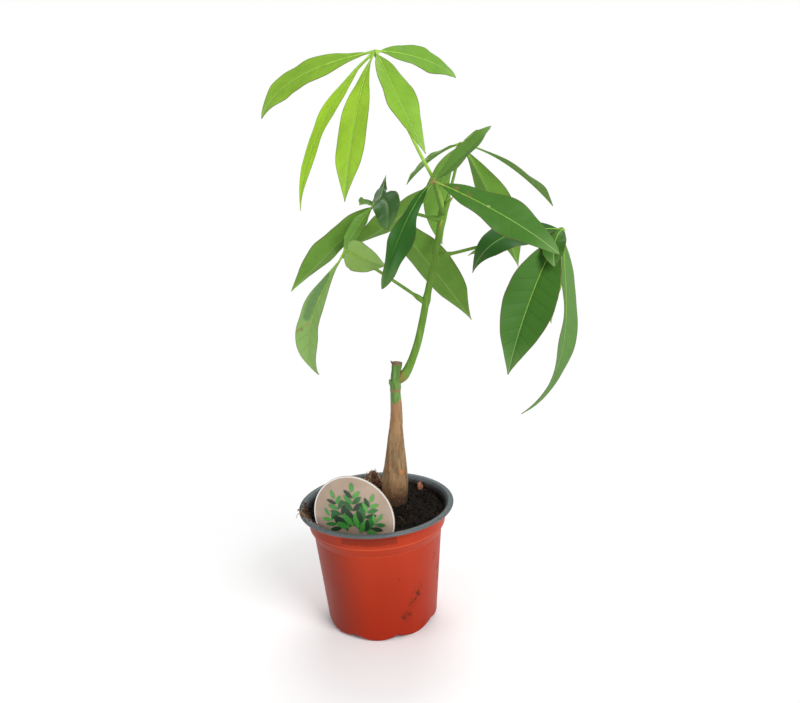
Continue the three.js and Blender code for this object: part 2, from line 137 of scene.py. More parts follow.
class Finish:
    """A material with a Principled surface, and the nodes that feed it."""

    def __init__(self, name, constants):
        self.material = bpy.data.materials.new(name)
        self.material.use_nodes = True
        self.tree = self.material.node_tree
        self.surface = self.tree.nodes["Principled BSDF"]
        for socket, value in constants.items():
            self.feed(self.surface.inputs[socket], value)

    def feed(self, socket, value):
        if isinstance(value, Link):
            self.tree.links.new(value.output, socket)
        elif isinstance(value, tuple) and socket.type == "RGBA":
            socket.default_value = (*value, 1)
        else:
            socket.default_value = value

    def node(self, kind, settings=None, sockets=None, output=0):
        made = self.tree.nodes.new("ShaderNode" + kind)
        for name, value in (settings or {}).items():
            setattr(made, name, value)
        for socket, value in (sockets or {}).items():
            self.feed(made.inputs[socket], value)
        return Link(self, made.outputs[output])

    def place(self):
        """The point on the piece in metres, the same frame for every piece."""
        return self.node("TexCoord", output="Object")

    def painted(self, name):
        """The number that the mesh carries under a name."""
        return self.node("Attribute", {"attribute_name": name}, output="Fac")

    def axes(self, vector):
        outputs = self.node("SeparateXYZ", None, {0: vector}).output.node.outputs
        return [Link(self, outputs[axis]) for axis in range(3)]

    def stretched(self, vector, scale):
        return self.node("Mapping", None, {"Vector": vector, "Scale": scale})

    def cloud(self, vector, size, detail=3.0, roughness=0.55):
        """Soft noise from 0 to 1, with blobs about `size` millimetres across."""
        sockets = {"Vector": vector, "Scale": 1 / (size * mm), "Detail": detail, "Roughness": roughness}
        return self.node("TexNoise", None, sockets)

    def ragged(self, height, vector, size, depth):
        """A height with noise on it, so that a limit drawn by it wanders `depth` millimetres."""
        return height + self.cloud(vector, size) * (depth * mm)

    def step(self, value, low, high):
        """0 below `low`, 1 above `high`, and a smooth slope between them."""
        sockets = {"Value": value, "From Min": low, "From Max": high}
        return self.node("MapRange", {"interpolation_type": "SMOOTHSTEP"}, sockets)

    def patches(self, vector, size, low, high, *grain):
        """Islands of 1 in a ground of 0; `grain` is the noise's own detail and roughness."""
        return self.step(self.cloud(vector, size, *grain), low, high)

    def mix(self, share, first, second):
        """Two colours mixed, `second` where `share` is 1."""
        return self.node("Mix", {"data_type": "RGBA"}, {0: share, 6: first, 7: second}, 2)

    def near(self, vector, point, reach):
        """1 at a point given in millimetres, fading to 0 at `reach` millimetres from it."""
        sockets = {0: vector, 1: tuple(value * mm for value in point)}
        gap = self.node("VectorMath", {"operation": "DISTANCE"}, sockets, "Value")
        return self.step(gap, reach * mm, reach * mm * SPOT_CORE)

    def near_any(self, vector, spots):
        """The same for several points, each with its own reach."""
        whole = self.near(vector, *spots[0])
        for point, reach in spots[1:]:
            whole = whole.over(self.near(vector, point, reach))
        return whole

    def tinted(self, body, vector, spots, share):
        """A colour with spots on it, each of them a point, its reach and its own colour."""
        for point, reach, colour in spots:
            body = self.mix(self.near(vector, point, reach) * share, body, colour)
        return body

    def dress(self, colour, roughness, height=None, depth=0.0):
        """Feeds the surface, with a relief `depth` millimetres high where a height is given."""
        self.feed(self.surface.inputs["Base Color"], colour)
        self.feed(self.surface.inputs["Roughness"], roughness)
        if height is not None:
            bump = self.node("Bump", None, {"Height": height, "Distance": depth * mm})
            self.feed(self.surface.inputs["Normal"], bump)
        return self.material

    def blend(self, share, shader):
        """Shows another shader in place of the surface where `share` is 1."""
        surface = Link(self, self.surface.outputs["BSDF"])
        both = self.node("MixShader", None, {0: share, 1: surface, 2: shader})
        self.feed(self.tree.nodes["Material Output"].inputs["Surface"], both)


print("shader helpers ready")

# %% [markdown]
# ## A pale room
# The photograph has a plain white ground and very soft light with hardly a shadow. A large
# white world gives that light from all sides. One broad lamp from the right and in front gives
# the pot its bright side, a weaker one from the left draws the fine highlight on its edge, and
# one from above and behind shines through the thin leaves.

# %% Light the room
ROOM_LIGHT = 0.42
ROOM_SHINE = 0.22
ROOM_WHITE = 1.0
LAMPS = {
    "key": {"place": (460, -600, 640), "size": 420, "watts": 6.5},
    "fill": {"place": (-620, -200, 380), "size": 350, "watts": 1.2},
    "back": {"place": (60, 560, 900), "size": 600, "watts": 5},
}
LAMP_TARGET = Vector((20, 0, 200)) * mm


def add_lamp(name, place, size, watts):
    bpy.ops.object.light_add(type="AREA", location=Vector(place) * mm)
    lamp = bpy.context.object
    lamp.name = name
    lamp.data.size = size * mm
    lamp.data.energy = watts
    lamp.rotation_euler = (LAMP_TARGET - lamp.location).to_track_quat("-Z", "Y").to_euler()
    return lamp


def add_world():
    """White to the eye, softer as a light, and softest where it mirrors in a glossy surface."""
    world = bpy.data.worlds.new("white_room")
    world.use_nodes = True
    tree = world.node_tree
    tree.nodes["Background"].inputs["Color"].default_value = (1, 1, 1, 1)
    tree.nodes["Background"].inputs["Strength"].default_value = ROOM_LIGHT
    shader = tree.nodes["Background"].outputs[0]
    rays = tree.nodes.new("ShaderNodeLightPath").outputs
    for ray, strength in (("Is Glossy Ray", ROOM_SHINE), ("Is Camera Ray", ROOM_WHITE)):
        background = tree.nodes.new("ShaderNodeBackground")
        background.inputs["Color"].default_value = (1, 1, 1, 1)
        background.inputs["Strength"].default_value = strength
        choice = tree.nodes.new("ShaderNodeMixShader")
        tree.links.new(rays[ray], choice.inputs[0])
        tree.links.new(shader, choice.inputs[1])
        tree.links.new(background.outputs[0], choice.inputs[2])
        shader = choice.outputs[0]
    tree.links.new(shader, tree.nodes["World Output"].inputs["Surface"])
    bpy.context.scene.world = world
    return world


bpy.context.scene.view_settings.view_transform = "Standard"
print("light:", add_world().name, [add_lamp(name, **lamp).name for name, lamp in LAMPS.items()])

# %% [markdown]
# The floor is one wide disc at the height of the pot's foot. A floor lit only by lamps would
# grow dark with distance and end in a hard horizon, so its paint fades to a plain white glow
# away from the plant, the same white as the room behind it.

# %% Lay the floor
FLOOR_RADIUS = 6000
FLOOR_DROP = 0.1
LIT_RADIUS = 50
GLOW_RADIUS = 320


def deselect():
    bpy.ops.object.select_all(action="DESELECT")


def add_floor():
    deselect()
    at = (0, 0, -FLOOR_DROP * mm)
    bpy.ops.mesh.primitive_circle_add(vertices=96, radius=FLOOR_RADIUS * mm, fill_type="NGON", location=at)
    floor = bpy.context.object
    floor.name = "floor"
    constants = {"Base Color": (0.9, 0.9, 0.9), "Roughness": 0.9, "Specular IOR Level": 0.0}
    paint = Finish("pale_floor", constants)
    away = paint.node("VectorMath", {"operation": "LENGTH"}, {0: paint.place()}, "Value")
    glow = paint.node("Emission", None, {"Color": (1.0, 1.0, 1.0), "Strength": ROOM_WHITE})
    paint.blend(paint.step(away, LIT_RADIUS * mm, GLOW_RADIUS * mm), glow)
    floor.data.materials.append(paint.material)
    return floor


print("floor:", add_floor().name)

# %% [markdown]
# ## Working by hand, in code
# An operator acts on all that is selected, so each step starts from a clean selection.


# %% Define the modelling helpers
def activate(piece):
    """Makes a piece the active one, with nothing else selected."""
    deselect()
    piece.select_set(True)
    bpy.context.view_layer.objects.active = piece


def edit(piece):
    activate(piece)
    bpy.ops.object.mode_set(mode="EDIT")


def close_edit():
    bpy.ops.object.mode_set(mode="OBJECT")


def pick(piece, kind, test):
    """Selects the vertices, edges or faces of the open mesh that pass a test."""
    bpy.ops.mesh.select_mode(type={"verts": "VERT", "edges": "EDGE", "faces": "FACE"}[kind])
    bpy.ops.mesh.select_all(action="DESELECT")
    mesh = bmesh.from_edit_mesh(piece.data)
    for part in getattr(mesh, kind):
        if test(part):
            part.select_set(True)
    mesh.select_flush_mode()
    bmesh.update_edit_mesh(piece.data)


def face_outwards():
    """Selects the whole of the open mesh and turns its faces outwards."""
    bpy.ops.mesh.select_all(action="SELECT")
    bpy.ops.mesh.normals_make_consistent(inside=False)


def apply_modifiers(piece):
    activate(piece)
    for modifier in list(piece.modifiers):
        bpy.ops.object.modifier_apply(modifier=modifier.name)


def smooth(piece, degrees):
    activate(piece)
    bpy.ops.object.shade_smooth_by_angle(angle=math.radians(degrees))


def joined(name, pieces):
    """Several objects made into one."""
    deselect()
    for piece in pieces:
        piece.select_set(True)
    bpy.context.view_layer.objects.active = pieces[0]
    if len(pieces) > 1:
        bpy.ops.object.join()
    pieces[0].name = name
    return pieces[0]


def coat(piece, *materials):
    """Gives a piece its finishes, in place of any that it has."""
    piece.data.materials.clear()
    for material in materials:
        piece.data.materials.append(material)


def hand_in(piece, slot, *nodes):
    """Gives a finished piece its body, and names the nodes that it replaces. The slot is not used."""
    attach(piece, "root")
    if nodes:
        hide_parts(*nodes)
    print("piece:", piece.name, len(piece.data.polygons), "faces")


print("modelling helpers ready")

# %% [markdown]
# ## The pot's plastic
# Nursery pots are pressed from a sheet with two layers: terracotta outside, dark grey inside.
# The grey shows on the rolled lip and on the inner wall, which is darkened below the lip by soil
# and by painted shade. The terracotta has a fine orange-peel skin, smears of dried soil and
# small dark specks, and it is a little paler near the top. Painted shade darkens its left side,
# a painted shadow lies in a band on the front of the collar under the lip, and painted
# highlights run along three edges, listed with their heights, tints and strengths: the
# shoulder, the fillet under it and the underside of the lip. Dirt is placed by distance from a
# named point and broken up by noise, so it looks sprinkled.

# %% Make the pot's two finishes
POT_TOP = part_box("pot")[1].z / mm
RED_FOOT = (0.37, 0.021, 0.003)
RED_TOP = (0.46, 0.042, 0.012)
RED_STREAKS = (0.30, 0.024, 0.008)
RED_PAINTED_SHADE = (0.185, 0.02, 0.008)
RED_PAINTED_SHADOW = (0.24, 0.022, 0.007)
DIRT_BROWN = (0.07, 0.02, 0.009)
GREY_CLEAN = (0.095, 0.115, 0.12)
GREY_SOIL_AND_PAINTED_SHADE = (0.009, 0.008, 0.0075)
CRUST_BROWN = (0.03, 0.018, 0.012)
PAINTED_HIGHLIGHTS = [
    (POT_TOP - 14.2, (0.66, 0.12, 0.05), 0.5),
    (POT_TOP - 21.5, (0.62, 0.10, 0.045), 0.2),
    (POT_TOP - 3.6, (0.62, 0.22, 0.15), 0.25),
]
DIRT = [
    ((27, -37.5, 33), 7), ((29, -36, 39), 5), ((24, -38.5, 28), 5), ((19, -40, 18), 6.5),
    ((45, -13, 44), 6), ((45, -11, 34), 6), ((43.5, -11, 21), 5), ((42, -24, 58), 3),
    ((45.5, -18, 67), 4), ((15, -45.5, 51), 1.8), ((-16, -42, 19), 2), ((30, -31, 4), 5),
    ((-40, 20, 30), 9), ((10, 44, 50), 8), ((-30, -34, 60), 2.5),
]
SHADED_SIDE = (-46, -14, 18)
SHADED_SIDE_REACH = 52
SHADOW_BAND_LEFT = -24
SHADOW_BAND_RIGHT = 15
SHADOW_BAND_FOOT = POT_TOP - 11.5
SHADOW_BAND_RAG = 4


def painted_shadow_band(finish, place):
    """1 inside the painted shadow band on the front of the collar, with a ragged lower edge."""
    x, y, height = finish.axes(place)
    ragged = finish.ragged(height, place, 5, SHADOW_BAND_RAG) - SHADOW_BAND_RAG * mm / 2
    shadow = finish.step(ragged, SHADOW_BAND_FOOT * mm, (SHADOW_BAND_FOOT + 0.8) * mm) * finish.step(y, 0, -mm)
    shadow = shadow * finish.step(x, (SHADOW_BAND_LEFT - 1.5) * mm, SHADOW_BAND_LEFT * mm)
    return shadow * finish.step(x, (SHADOW_BAND_RIGHT + 1) * mm, SHADOW_BAND_RIGHT * mm)


def terracotta_finish():
    finish = Finish("terracotta_plastic", {"Specular IOR Level": 0.12})
    place = finish.place()
    height = finish.axes(place)[2]
    body = finish.mix(finish.step(height, 0.0, POT_TOP * mm), RED_FOOT, RED_TOP)
    streaks = finish.patches(finish.stretched(place, (1, 1, 0.25)), 30, 0.35, 0.7)
    body = finish.mix(streaks * 0.3, body, RED_STREAKS)
    # Painted shade darkens the pot's left side.
    left_shade = finish.near(finish.stretched(place, (1, 1, 0.4)), SHADED_SIDE, SHADED_SIDE_REACH)
    body = finish.mix(left_shade * 0.75, body, RED_PAINTED_SHADE)
    # Painted shadow: a dark band on the front of the collar, under the lip.
    body = finish.mix(painted_shadow_band(finish, place) * 0.75, body, RED_PAINTED_SHADOW)
    # Painted highlights: pale lines along the shoulder, the fillet and the lip's underside.
    for level, tint, share in PAINTED_HIGHLIGHTS:
        edge = finish.step(abs(height - level * mm), 0.7 * mm, 0.1 * mm)
        body = finish.mix(edge * share, body, tint)
    specks = finish.patches(place, 3, 0.5, 0.57, 6, 0.75)
    dirt = finish.patches(place, 0.9, 0.72, 0.76, 1) * 0.5
    dirt = dirt.over(finish.near_any(place, DIRT) * specks)
    body = finish.mix(dirt * 0.85, body, DIRT_BROWN)
    roughness = 0.36 + finish.cloud(place, 14) * 0.14 + dirt * 0.3
    return finish.dress(body, roughness, finish.cloud(place, 0.8, 2) * 0.4 + dirt, 0.08)


def grey_finish():
    finish = Finish("grey_plastic", {"Specular IOR Level": 0.35})
    place = finish.place()
    height = finish.axes(place)[2]
    # Below the lip the grey darkens, partly with soil and partly with painted shade inside the pot.
    soil_and_shade = finish.step(height, (POT_TOP - 1.2) * mm, (POT_TOP - 4) * mm)
    body = finish.mix(soil_and_shade, GREY_CLEAN, GREY_SOIL_AND_PAINTED_SHADE)
    crust = finish.patches(place, 3.5, 0.52, 0.66, 4) * (0.25 + soil_and_shade * 0.6)
    body = finish.mix(crust, body, CRUST_BROWN)
    return finish.dress(body, 0.42 + crust * 0.4, finish.cloud(place, 1.0, 2) * 0.4 + crust, 0.12)


TERRACOTTA = terracotta_finish()
GREY = grey_finish()
print("pot finishes:", TERRACOTTA.name, GREY.name)

# %% [markdown]
# ## The pot
# A pot is a turned shape, so it starts as one flat profile. A plane is merged to a single
# vertex, extruded from point to point along the pot's section, out of the foot, up the wall,
# round the lip and down inside, and its corners are rounded with a vertex bevel. Spinning that
# line once round the axis makes the whole shell, and its doubled vertices on the axis and at
# the seam are merged.

# %% Turn the pot
LIP_WIDTH = 4.8
LIP_DEPTH = 3
LIP_UNDERSIDE = POT_TOP - LIP_DEPTH
COLLAR_RADIUS = 54
COLLAR_TAPER = 1.2
SHOULDER = POT_TOP - 15.5
SHOULDER_FOOT = SHOULDER - 6
BODY_RADIUS = 49.7
FOOT_RADIUS = 43
WALL = 1.1
MIDDLE_FOOT = 20
FOOT_RING = 38
UNDERCUT = 3
RIM_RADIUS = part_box("pot")[1].x / mm
OUTER_SECTION = [
    (0, 0), (MIDDLE_FOOT, 0), (MIDDLE_FOOT + UNDERCUT, UNDERCUT), (FOOT_RING - UNDERCUT, UNDERCUT),
    (FOOT_RING, 0), (FOOT_RADIUS - 1.2, 0), (FOOT_RADIUS, 1.8), (BODY_RADIUS, SHOULDER_FOOT),
    (COLLAR_RADIUS - COLLAR_TAPER, SHOULDER), (COLLAR_RADIUS, LIP_UNDERSIDE - 1),
    (COLLAR_RADIUS + 0.8, LIP_UNDERSIDE), (RIM_RADIUS - 0.8, LIP_UNDERSIDE + 0.1),
    (RIM_RADIUS, POT_TOP - 1.8), (RIM_RADIUS - 0.3, POT_TOP - 0.6), (RIM_RADIUS - 1.5, POT_TOP),
]
INNER_SECTION = [
    (RIM_RADIUS - LIP_WIDTH + 0.8, POT_TOP - 0.2), (RIM_RADIUS - LIP_WIDTH, POT_TOP - 1.2),
    (COLLAR_RADIUS - WALL, LIP_UNDERSIDE - 2), (COLLAR_RADIUS - COLLAR_TAPER - WALL, SHOULDER),
    (BODY_RADIUS - WALL, SHOULDER_FOOT), (FOOT_RADIUS - WALL, 2.4), (FOOT_RING, WALL),
    (FOOT_RING - UNDERCUT, UNDERCUT + WALL), (MIDDLE_FOOT + UNDERCUT, UNDERCUT + WALL),
    (MIDDLE_FOOT, WALL), (0, WALL),
]
ROUNDING = 0.5
ROUNDED_FROM = 30
TURN_STEPS = 144


def draw_section(points):
    """A line of edges through the points of a section, made by extruding one vertex."""
    deselect()
    bpy.ops.mesh.primitive_plane_add(size=mm)
    section = bpy.context.object
    edit(section)
    bpy.ops.mesh.merge(type="CENTER")
    bpy.ops.mesh.select_mode(type="VERT")
    previous = Vector((0, 0, 0))
    for radius, height in points:
        corner = Vector((radius, 0, height)) * mm
        if (corner - previous).length > 0:
            bpy.ops.mesh.extrude_vertices_move(TRANSFORM_OT_translate={"value": corner - previous})
        previous = corner
    return section


def turn_pot():
    pot = draw_section(OUTER_SECTION + INNER_SECTION)
    pick(pot, "verts", lambda v: v.co.x > ROUNDED_FROM * mm)
    bpy.ops.mesh.bevel(offset=ROUNDING * mm, segments=3, affect="VERTICES")
    bpy.ops.mesh.select_all(action="SELECT")
    bpy.ops.mesh.spin(steps=TURN_STEPS, angle=2 * math.pi, center=(0, 0, 0), axis=(0, 0, 1))
    bpy.ops.mesh.select_all(action="SELECT")
    bpy.ops.mesh.remove_doubles(threshold=0.01 * mm)
    face_outwards()
    close_edit()
    pot.name = "pot_shell"
    return pot


pot = turn_pot()
print("pot shell:", len(pot.data.polygons), "faces")

# %% [markdown]
# The real pot's foot is scalloped: it stands on eight lobes, with a drain hole between each two
# of them. A boolean could cut the holes alone, but the foot also rises between its lobes, so
# the vertices near the ground are lifted by a formula first and the eight holes are cut
# afterwards, all by one cutter.

# %% Shape the foot and cut its drain holes
LOBES = 8
LOBE_PHASE = 0.36
LOBE_HEIGHT = 9
LOBE_EDGE = 36.5
LOBE_LIFT = 3.2
DRAIN_WIDTH = 7.4
DRAIN_LENGTH = 14
DRAIN_HEIGHT = 5.1


def lobe_share(x, y):
    """0 in the middle of a lobe of the foot and 1 at a drain hole."""
    turns = (math.atan2(y, x) / (2 * math.pi) - 0.25) * LOBES - LOBE_PHASE
    return abs((turns + 0.5) % 1 - 0.5) * -2 + 1


def scallop_foot():
    for vertex in pot.data.vertices:
        x, y, z = vertex.co
        if math.hypot(x, y) / mm > LOBE_EDGE and z < LOBE_HEIGHT * mm:
            lift = LOBE_LIFT * lobe_share(x, y) ** 2 * (1 - z / (LOBE_HEIGHT * mm))
            vertex.co.z += lift * mm


def cut_drains():
    deselect()
    bpy.ops.mesh.primitive_cylinder_add(vertices=32, radius=1, depth=1, rotation=(math.pi / 2, 0, 0))
    bpy.ops.object.transform_apply(location=False, rotation=True, scale=False)
    cutter = bpy.context.object
    cutter.scale = (DRAIN_WIDTH / 2 * mm, DRAIN_LENGTH * mm, DRAIN_HEIGHT * mm)
    cutter.location = (0, (FOOT_RADIUS + 0.5) * mm, -1 * mm)
    bpy.ops.object.transform_apply()
    holes = []
    for lobe in range(LOBES):
        hole = cutter.copy()
        hole.data = cutter.data.copy()
        hole.data.transform(Matrix.Rotation(2 * math.pi * (lobe + LOBE_PHASE) / LOBES, 4, "Z"))
        bpy.context.collection.objects.link(hole)
        holes.append(hole)
    bpy.data.objects.remove(cutter)
    drains = joined("drain_cutter", holes)
    cut = pot.modifiers.new("drains", "BOOLEAN")
    cut.operation = "DIFFERENCE"
    cut.object = drains
    apply_modifiers(pot)
    bpy.data.objects.remove(drains)


scallop_foot()
cut_drains()
smooth(pot, 40)
print("pot shell with drains:", len(pot.data.polygons), "faces")

# %% [markdown]
# The two layers of the sheet are told apart face by face: what looks towards the axis, the
# floor inside and the lip are grey, and all the rest is terracotta.

# %% Paint the pot and hand it in
INSIDE_FLOOR = 9
LIP_GREY_DEPTH = 1.9


def is_grey(face):
    """True for what looks towards the axis, and for the floor inside and the lip."""
    x, y, z = face.center
    height = z / mm
    inward = face.normal.x * x + face.normal.y * y < -0.5 * math.hypot(x, y)
    on_floor = face.normal.z > 0.5 and height < INSIDE_FLOOR
    on_lip = height > POT_TOP - LIP_GREY_DEPTH
    return on_lip or on_floor or (inward and height > 1)


coat(pot, TERRACOTTA, GREY)
for face in pot.data.polygons:
    face.material_index = int(is_grey(face))
hand_in(pot, "pot_plastic", "pot")

# %% [markdown]
# ## The soil
# Potting compost is nearly black, made of crumbs of every size. One fine noise serves its
# finish three times: it mixes the two dark browns, it makes the relief, and it leaves the
# highest grains a little glossier. The mound behind the trunk is dry, and so it is paler.

# %% Make the soil's finish
TRUNK_FOOT = Vector((13.5, 5, 0))
MOUND = Vector((-4, 38, 0))
MOUND_TOP = 101
SOIL_DARK = (0.0025, 0.002, 0.0016)
SOIL_LIGHT = (0.017, 0.012, 0.0085)
SOIL_REDDISH = (0.035, 0.018, 0.01)
SOIL_DRY = (0.24, 0.115, 0.07)


def soil_finish():
    finish = Finish("potting_soil", {"Specular IOR Level": 0.12})
    place = finish.place()
    grain = finish.cloud(place, 2.2, 6, 0.7)
    body = finish.mix(finish.step(grain, 0.35, 0.7), SOIL_DARK, SOIL_LIGHT)
    body = finish.mix(finish.patches(place, 5, 0.58, 0.7) * 0.6, body, SOIL_REDDISH)
    mound = finish.near(place, (MOUND.x, MOUND.y, MOUND_TOP), 18)
    body = finish.mix(mound * finish.step(grain, 0.35, 0.55) * 0.9, body, SOIL_DRY)
    return finish.dress(body, 0.95 - finish.step(grain, 0.62, 0.75) * 0.35, grain, 0.8)


SOIL = soil_finish()
print("soil finish:", SOIL.name)

# %% [markdown]
# One grid gives the ground. It is pressed from a square into a disc by a formula, raised into
# the mound and round the trunk's foot, roughened by noise, and closed below by extruding its
# edge down along the pot's inner wall. Sculpting would look as good, but a formula also tells
# the crumbs and roots how high the ground is where they lie.

# %% Shape the soil
SOIL_LEVEL = 85
SOIL_RADIUS = 52.3
SOIL_WALL = [(51.2, SHOULDER), (48.3, SHOULDER_FOOT), (41.4, 4.6)]
SOIL_GRID = 130
HEAP_HEIGHT = 16
COLLAR_HEIGHT = 5.5
HEAP_REACH = 9
BACK_RISE = 2.5
ROLLING = 0.5
CRUMBLY = 1.5


def bell(distance, reach):
    """1 in the middle, fading smoothly to almost nothing at twice the reach."""
    return math.exp(-((distance / reach) ** 2))


def soil_height(x, y):
    """The ground's height in millimetres, as in the CAD model, with crumbly noise on top."""
    heap = HEAP_HEIGHT * bell(math.hypot(x - MOUND.x, y - MOUND.y), HEAP_REACH)
    from_trunk = math.hypot(x - TRUNK_FOOT.x, y - TRUNK_FOOT.y)
    collar = COLLAR_HEIGHT * bell(from_trunk - HEAP_REACH, HEAP_REACH)
    back = BACK_RISE * min(1, max(0, y / MOUND.y)) ** 2
    rolling = math.sin(0.41 * x + 0.23 * y) + math.sin(0.37 * y - 0.29 * x + 1)
    crumbs = noise.fractal(Vector((x, y, 0)) * 0.28, 0.9, 2.1, 5) * CRUMBLY
    return SOIL_LEVEL + heap + collar + back + ROLLING * rolling + crumbs


def shape_soil():
    deselect()
    bpy.ops.mesh.primitive_grid_add(x_subdivisions=SOIL_GRID, y_subdivisions=SOIL_GRID, size=2)
    soil = bpy.context.object
    for vertex in soil.data.vertices:
        across, along = vertex.co.x, vertex.co.y
        x = across * math.sqrt(1 - along * along / 2) * SOIL_RADIUS
        y = along * math.sqrt(1 - across * across / 2) * SOIL_RADIUS
        vertex.co = Vector((x, y, soil_height(x, y))) * mm
    edit(soil)
    pick(soil, "edges", lambda e: e.is_boundary)
    radius, height = SOIL_RADIUS, SOIL_LEVEL
    for next_radius, next_height in SOIL_WALL:
        down = (0, 0, (next_height - height) * mm)
        bpy.ops.mesh.extrude_edges_move(TRANSFORM_OT_translate={"value": down})
        share = next_radius / radius
        bpy.ops.transform.resize(value=(share, share, 1), center_override=(0, 0, 0))
        radius, height = next_radius, next_height
    bpy.ops.mesh.edge_face_add()
    face_outwards()
    close_edit()
    soil.name = "soil_ground"
    coat(soil, SOIL)
    smooth(soil, 60)
    return soil


hand_in(shape_soil(), "potting_soil", "soil")

# %% [markdown]
# Crumbs lie loose on the ground. One of a few knobbly lumps, each an icosphere with its corners
# pushed about, is copied to seeded random places. The lumps have only 20 faces each, because
# there are many hundreds of them.

# %% Scatter crumbs
CRUMBS = 1500
CRUMB_KINDS = 6
CRUMB_LEAST = 0.35
CRUMB_SPREAD = 1.5
TRUNK_CLEARANCE = 11.5


def lump(name, jitter=0.3):
    deselect()
    bpy.ops.mesh.primitive_ico_sphere_add(subdivisions=1, radius=mm)
    made = bpy.context.object
    made.name = name
    for vertex in made.data.vertices:
        vertex.co *= 1 + dice.uniform(-jitter, jitter)
    return made


def on_ground():
    """A random point of the ground, clear of the trunk."""
    while True:
        reach = (SOIL_RADIUS - 1.5) * math.sqrt(dice.random())
        angle = dice.uniform(0, 2 * math.pi)
        x, y = reach * math.cos(angle), reach * math.sin(angle)
        if math.hypot(x - TRUNK_FOOT.x, y - TRUNK_FOOT.y) > TRUNK_CLEARANCE:
            return Vector((x, y, soil_height(x, y)))


def scatter(name, kinds, places, sizes, material):
    """Copies of the lumps at the places, turned and squashed, joined to one piece."""
    copies = []
    for point, size in zip(places, sizes):
        kind = dice.choice(kinds)
        turned = Matrix.Rotation(dice.uniform(0, 6.28), 4, Vector((dice.random(), dice.random(), 1)))
        squashed = Matrix.Diagonal((size, size * dice.uniform(0.6, 1), size * dice.uniform(0.5, 0.9), 1))
        made = bpy.data.objects.new(name, kind.data.copy())
        made.data.transform(Matrix.Translation(point * mm) @ turned @ squashed)
        bpy.context.collection.objects.link(made)
        copies.append(made)
    for kind in kinds:
        bpy.data.objects.remove(kind)
    whole = joined(name, copies)
    coat(whole, material)
    return whole


crumb_kinds = [lump(f"crumb_{kind}") for kind in range(CRUMB_KINDS)]
crumb_places = [on_ground() for _ in range(CRUMBS)]
crumb_sizes = [CRUMB_LEAST + CRUMB_SPREAD * dice.random() ** 4 for _ in range(CRUMBS)]
hand_in(scatter("soil_crumbs", crumb_kinds, crumb_places, crumb_sizes, SOIL), "potting_soil")

# %% [markdown]
# ## Stems
# Trunk, shoot and leaf stalks are all round limbs that follow a smooth route and change their
# thickness on the way. A Blender curve does this well: its bevel makes the round section and
# each of its points has its own radius. The route goes through given points, with handles a
# third of the way to each neighbour, and is then cut into equal steps.

# %% Define the limb
BEZIER_STEPS = 24


def smooth_route(points, steps):
    """Equally spaced points on a smooth curve through the given ones, in millimetres."""
    points = [Vector(point) for point in points]
    fine = []
    for index in range(len(points) - 1):
        start, end = points[index], points[index + 1]
        before = points[max(index - 1, 0)]
        after = points[min(index + 2, len(points) - 1)]
        third = (end - start).length / 3
        leave = start + (end - before).normalized() * third
        arrive = end - (after - start).normalized() * third
        piece = geometry.interpolate_bezier(start, leave, arrive, end, BEZIER_STEPS)
        fine += piece[bool(index):]
    lengths = [0.0]
    for index in range(1, len(fine)):
        lengths.append(lengths[-1] + (fine[index] - fine[index - 1]).length)
    route, at = [], 0
    for step in range(steps + 1):
        wanted = lengths[-1] * step / steps
        while at < len(fine) - 2 and lengths[at + 1] < wanted:
            at += 1
        share = (wanted - lengths[at]) / max(lengths[at + 1] - lengths[at], 1e-9)
        route.append(fine[at].lerp(fine[at + 1], min(share, 1)))
    return route


def ramp(stops, share):
    """A straight line through (share, value) stops."""
    for (low, first), (high, second) in zip(stops, stops[1:]):
        if share <= high:
            return first + (second - first) * max(0, share - low) / (high - low)
    return stops[-1][1]


def paint_value(piece, name, value):
    """Gives every vertex of a piece the same number, for its material to read."""
    layer = piece.data.attributes.new(name, "FLOAT", "POINT")
    layer.data.foreach_set("value", [value] * len(piece.data.vertices))


def limb(name, route, radii, material, sides, steps, tone=0.5):
    """A round stem through route points, its radius given by (share, radius) stops."""
    deselect()
    bpy.ops.curve.primitive_bezier_curve_add()
    stem = bpy.context.object
    curve = stem.data
    curve.splines.clear()
    spline = curve.splines.new("POLY")
    spline.points.add(steps)
    for index, point in enumerate(smooth_route(route, steps)):
        spline.points[index].co = (*(point * mm), 1)
        spline.points[index].radius = ramp(radii, index / steps)
    curve.dimensions = "3D"
    curve.bevel_depth = mm
    curve.bevel_resolution = sides // 2 - 2
    curve.use_fill_caps = True
    bpy.ops.object.convert(target="MESH")
    stem = bpy.context.object
    stem.name = name
    coat(stem, material)
    paint_value(stem, "tone", tone)
    return stem


print("limb helper ready")

# %% [markdown]
# ## The trunk
# The trunk of a money tree swells at its base. This one was cut off at the top, where a rim of
# cork has closed round the wound, and a single green shoot grew from its side. The bark is tan
# with long vertical streaks and a few scars. Above a slanting border the stem is still green,
# with one brown ring round it. Each of `BARK_BANDS` has the heights where it starts and is
# full, how ragged it is, its strength and its colour: the browner foot, the soil that clings to
# it together with painted shade where the trunk meets the ground, and the warm stretch under
# the green.

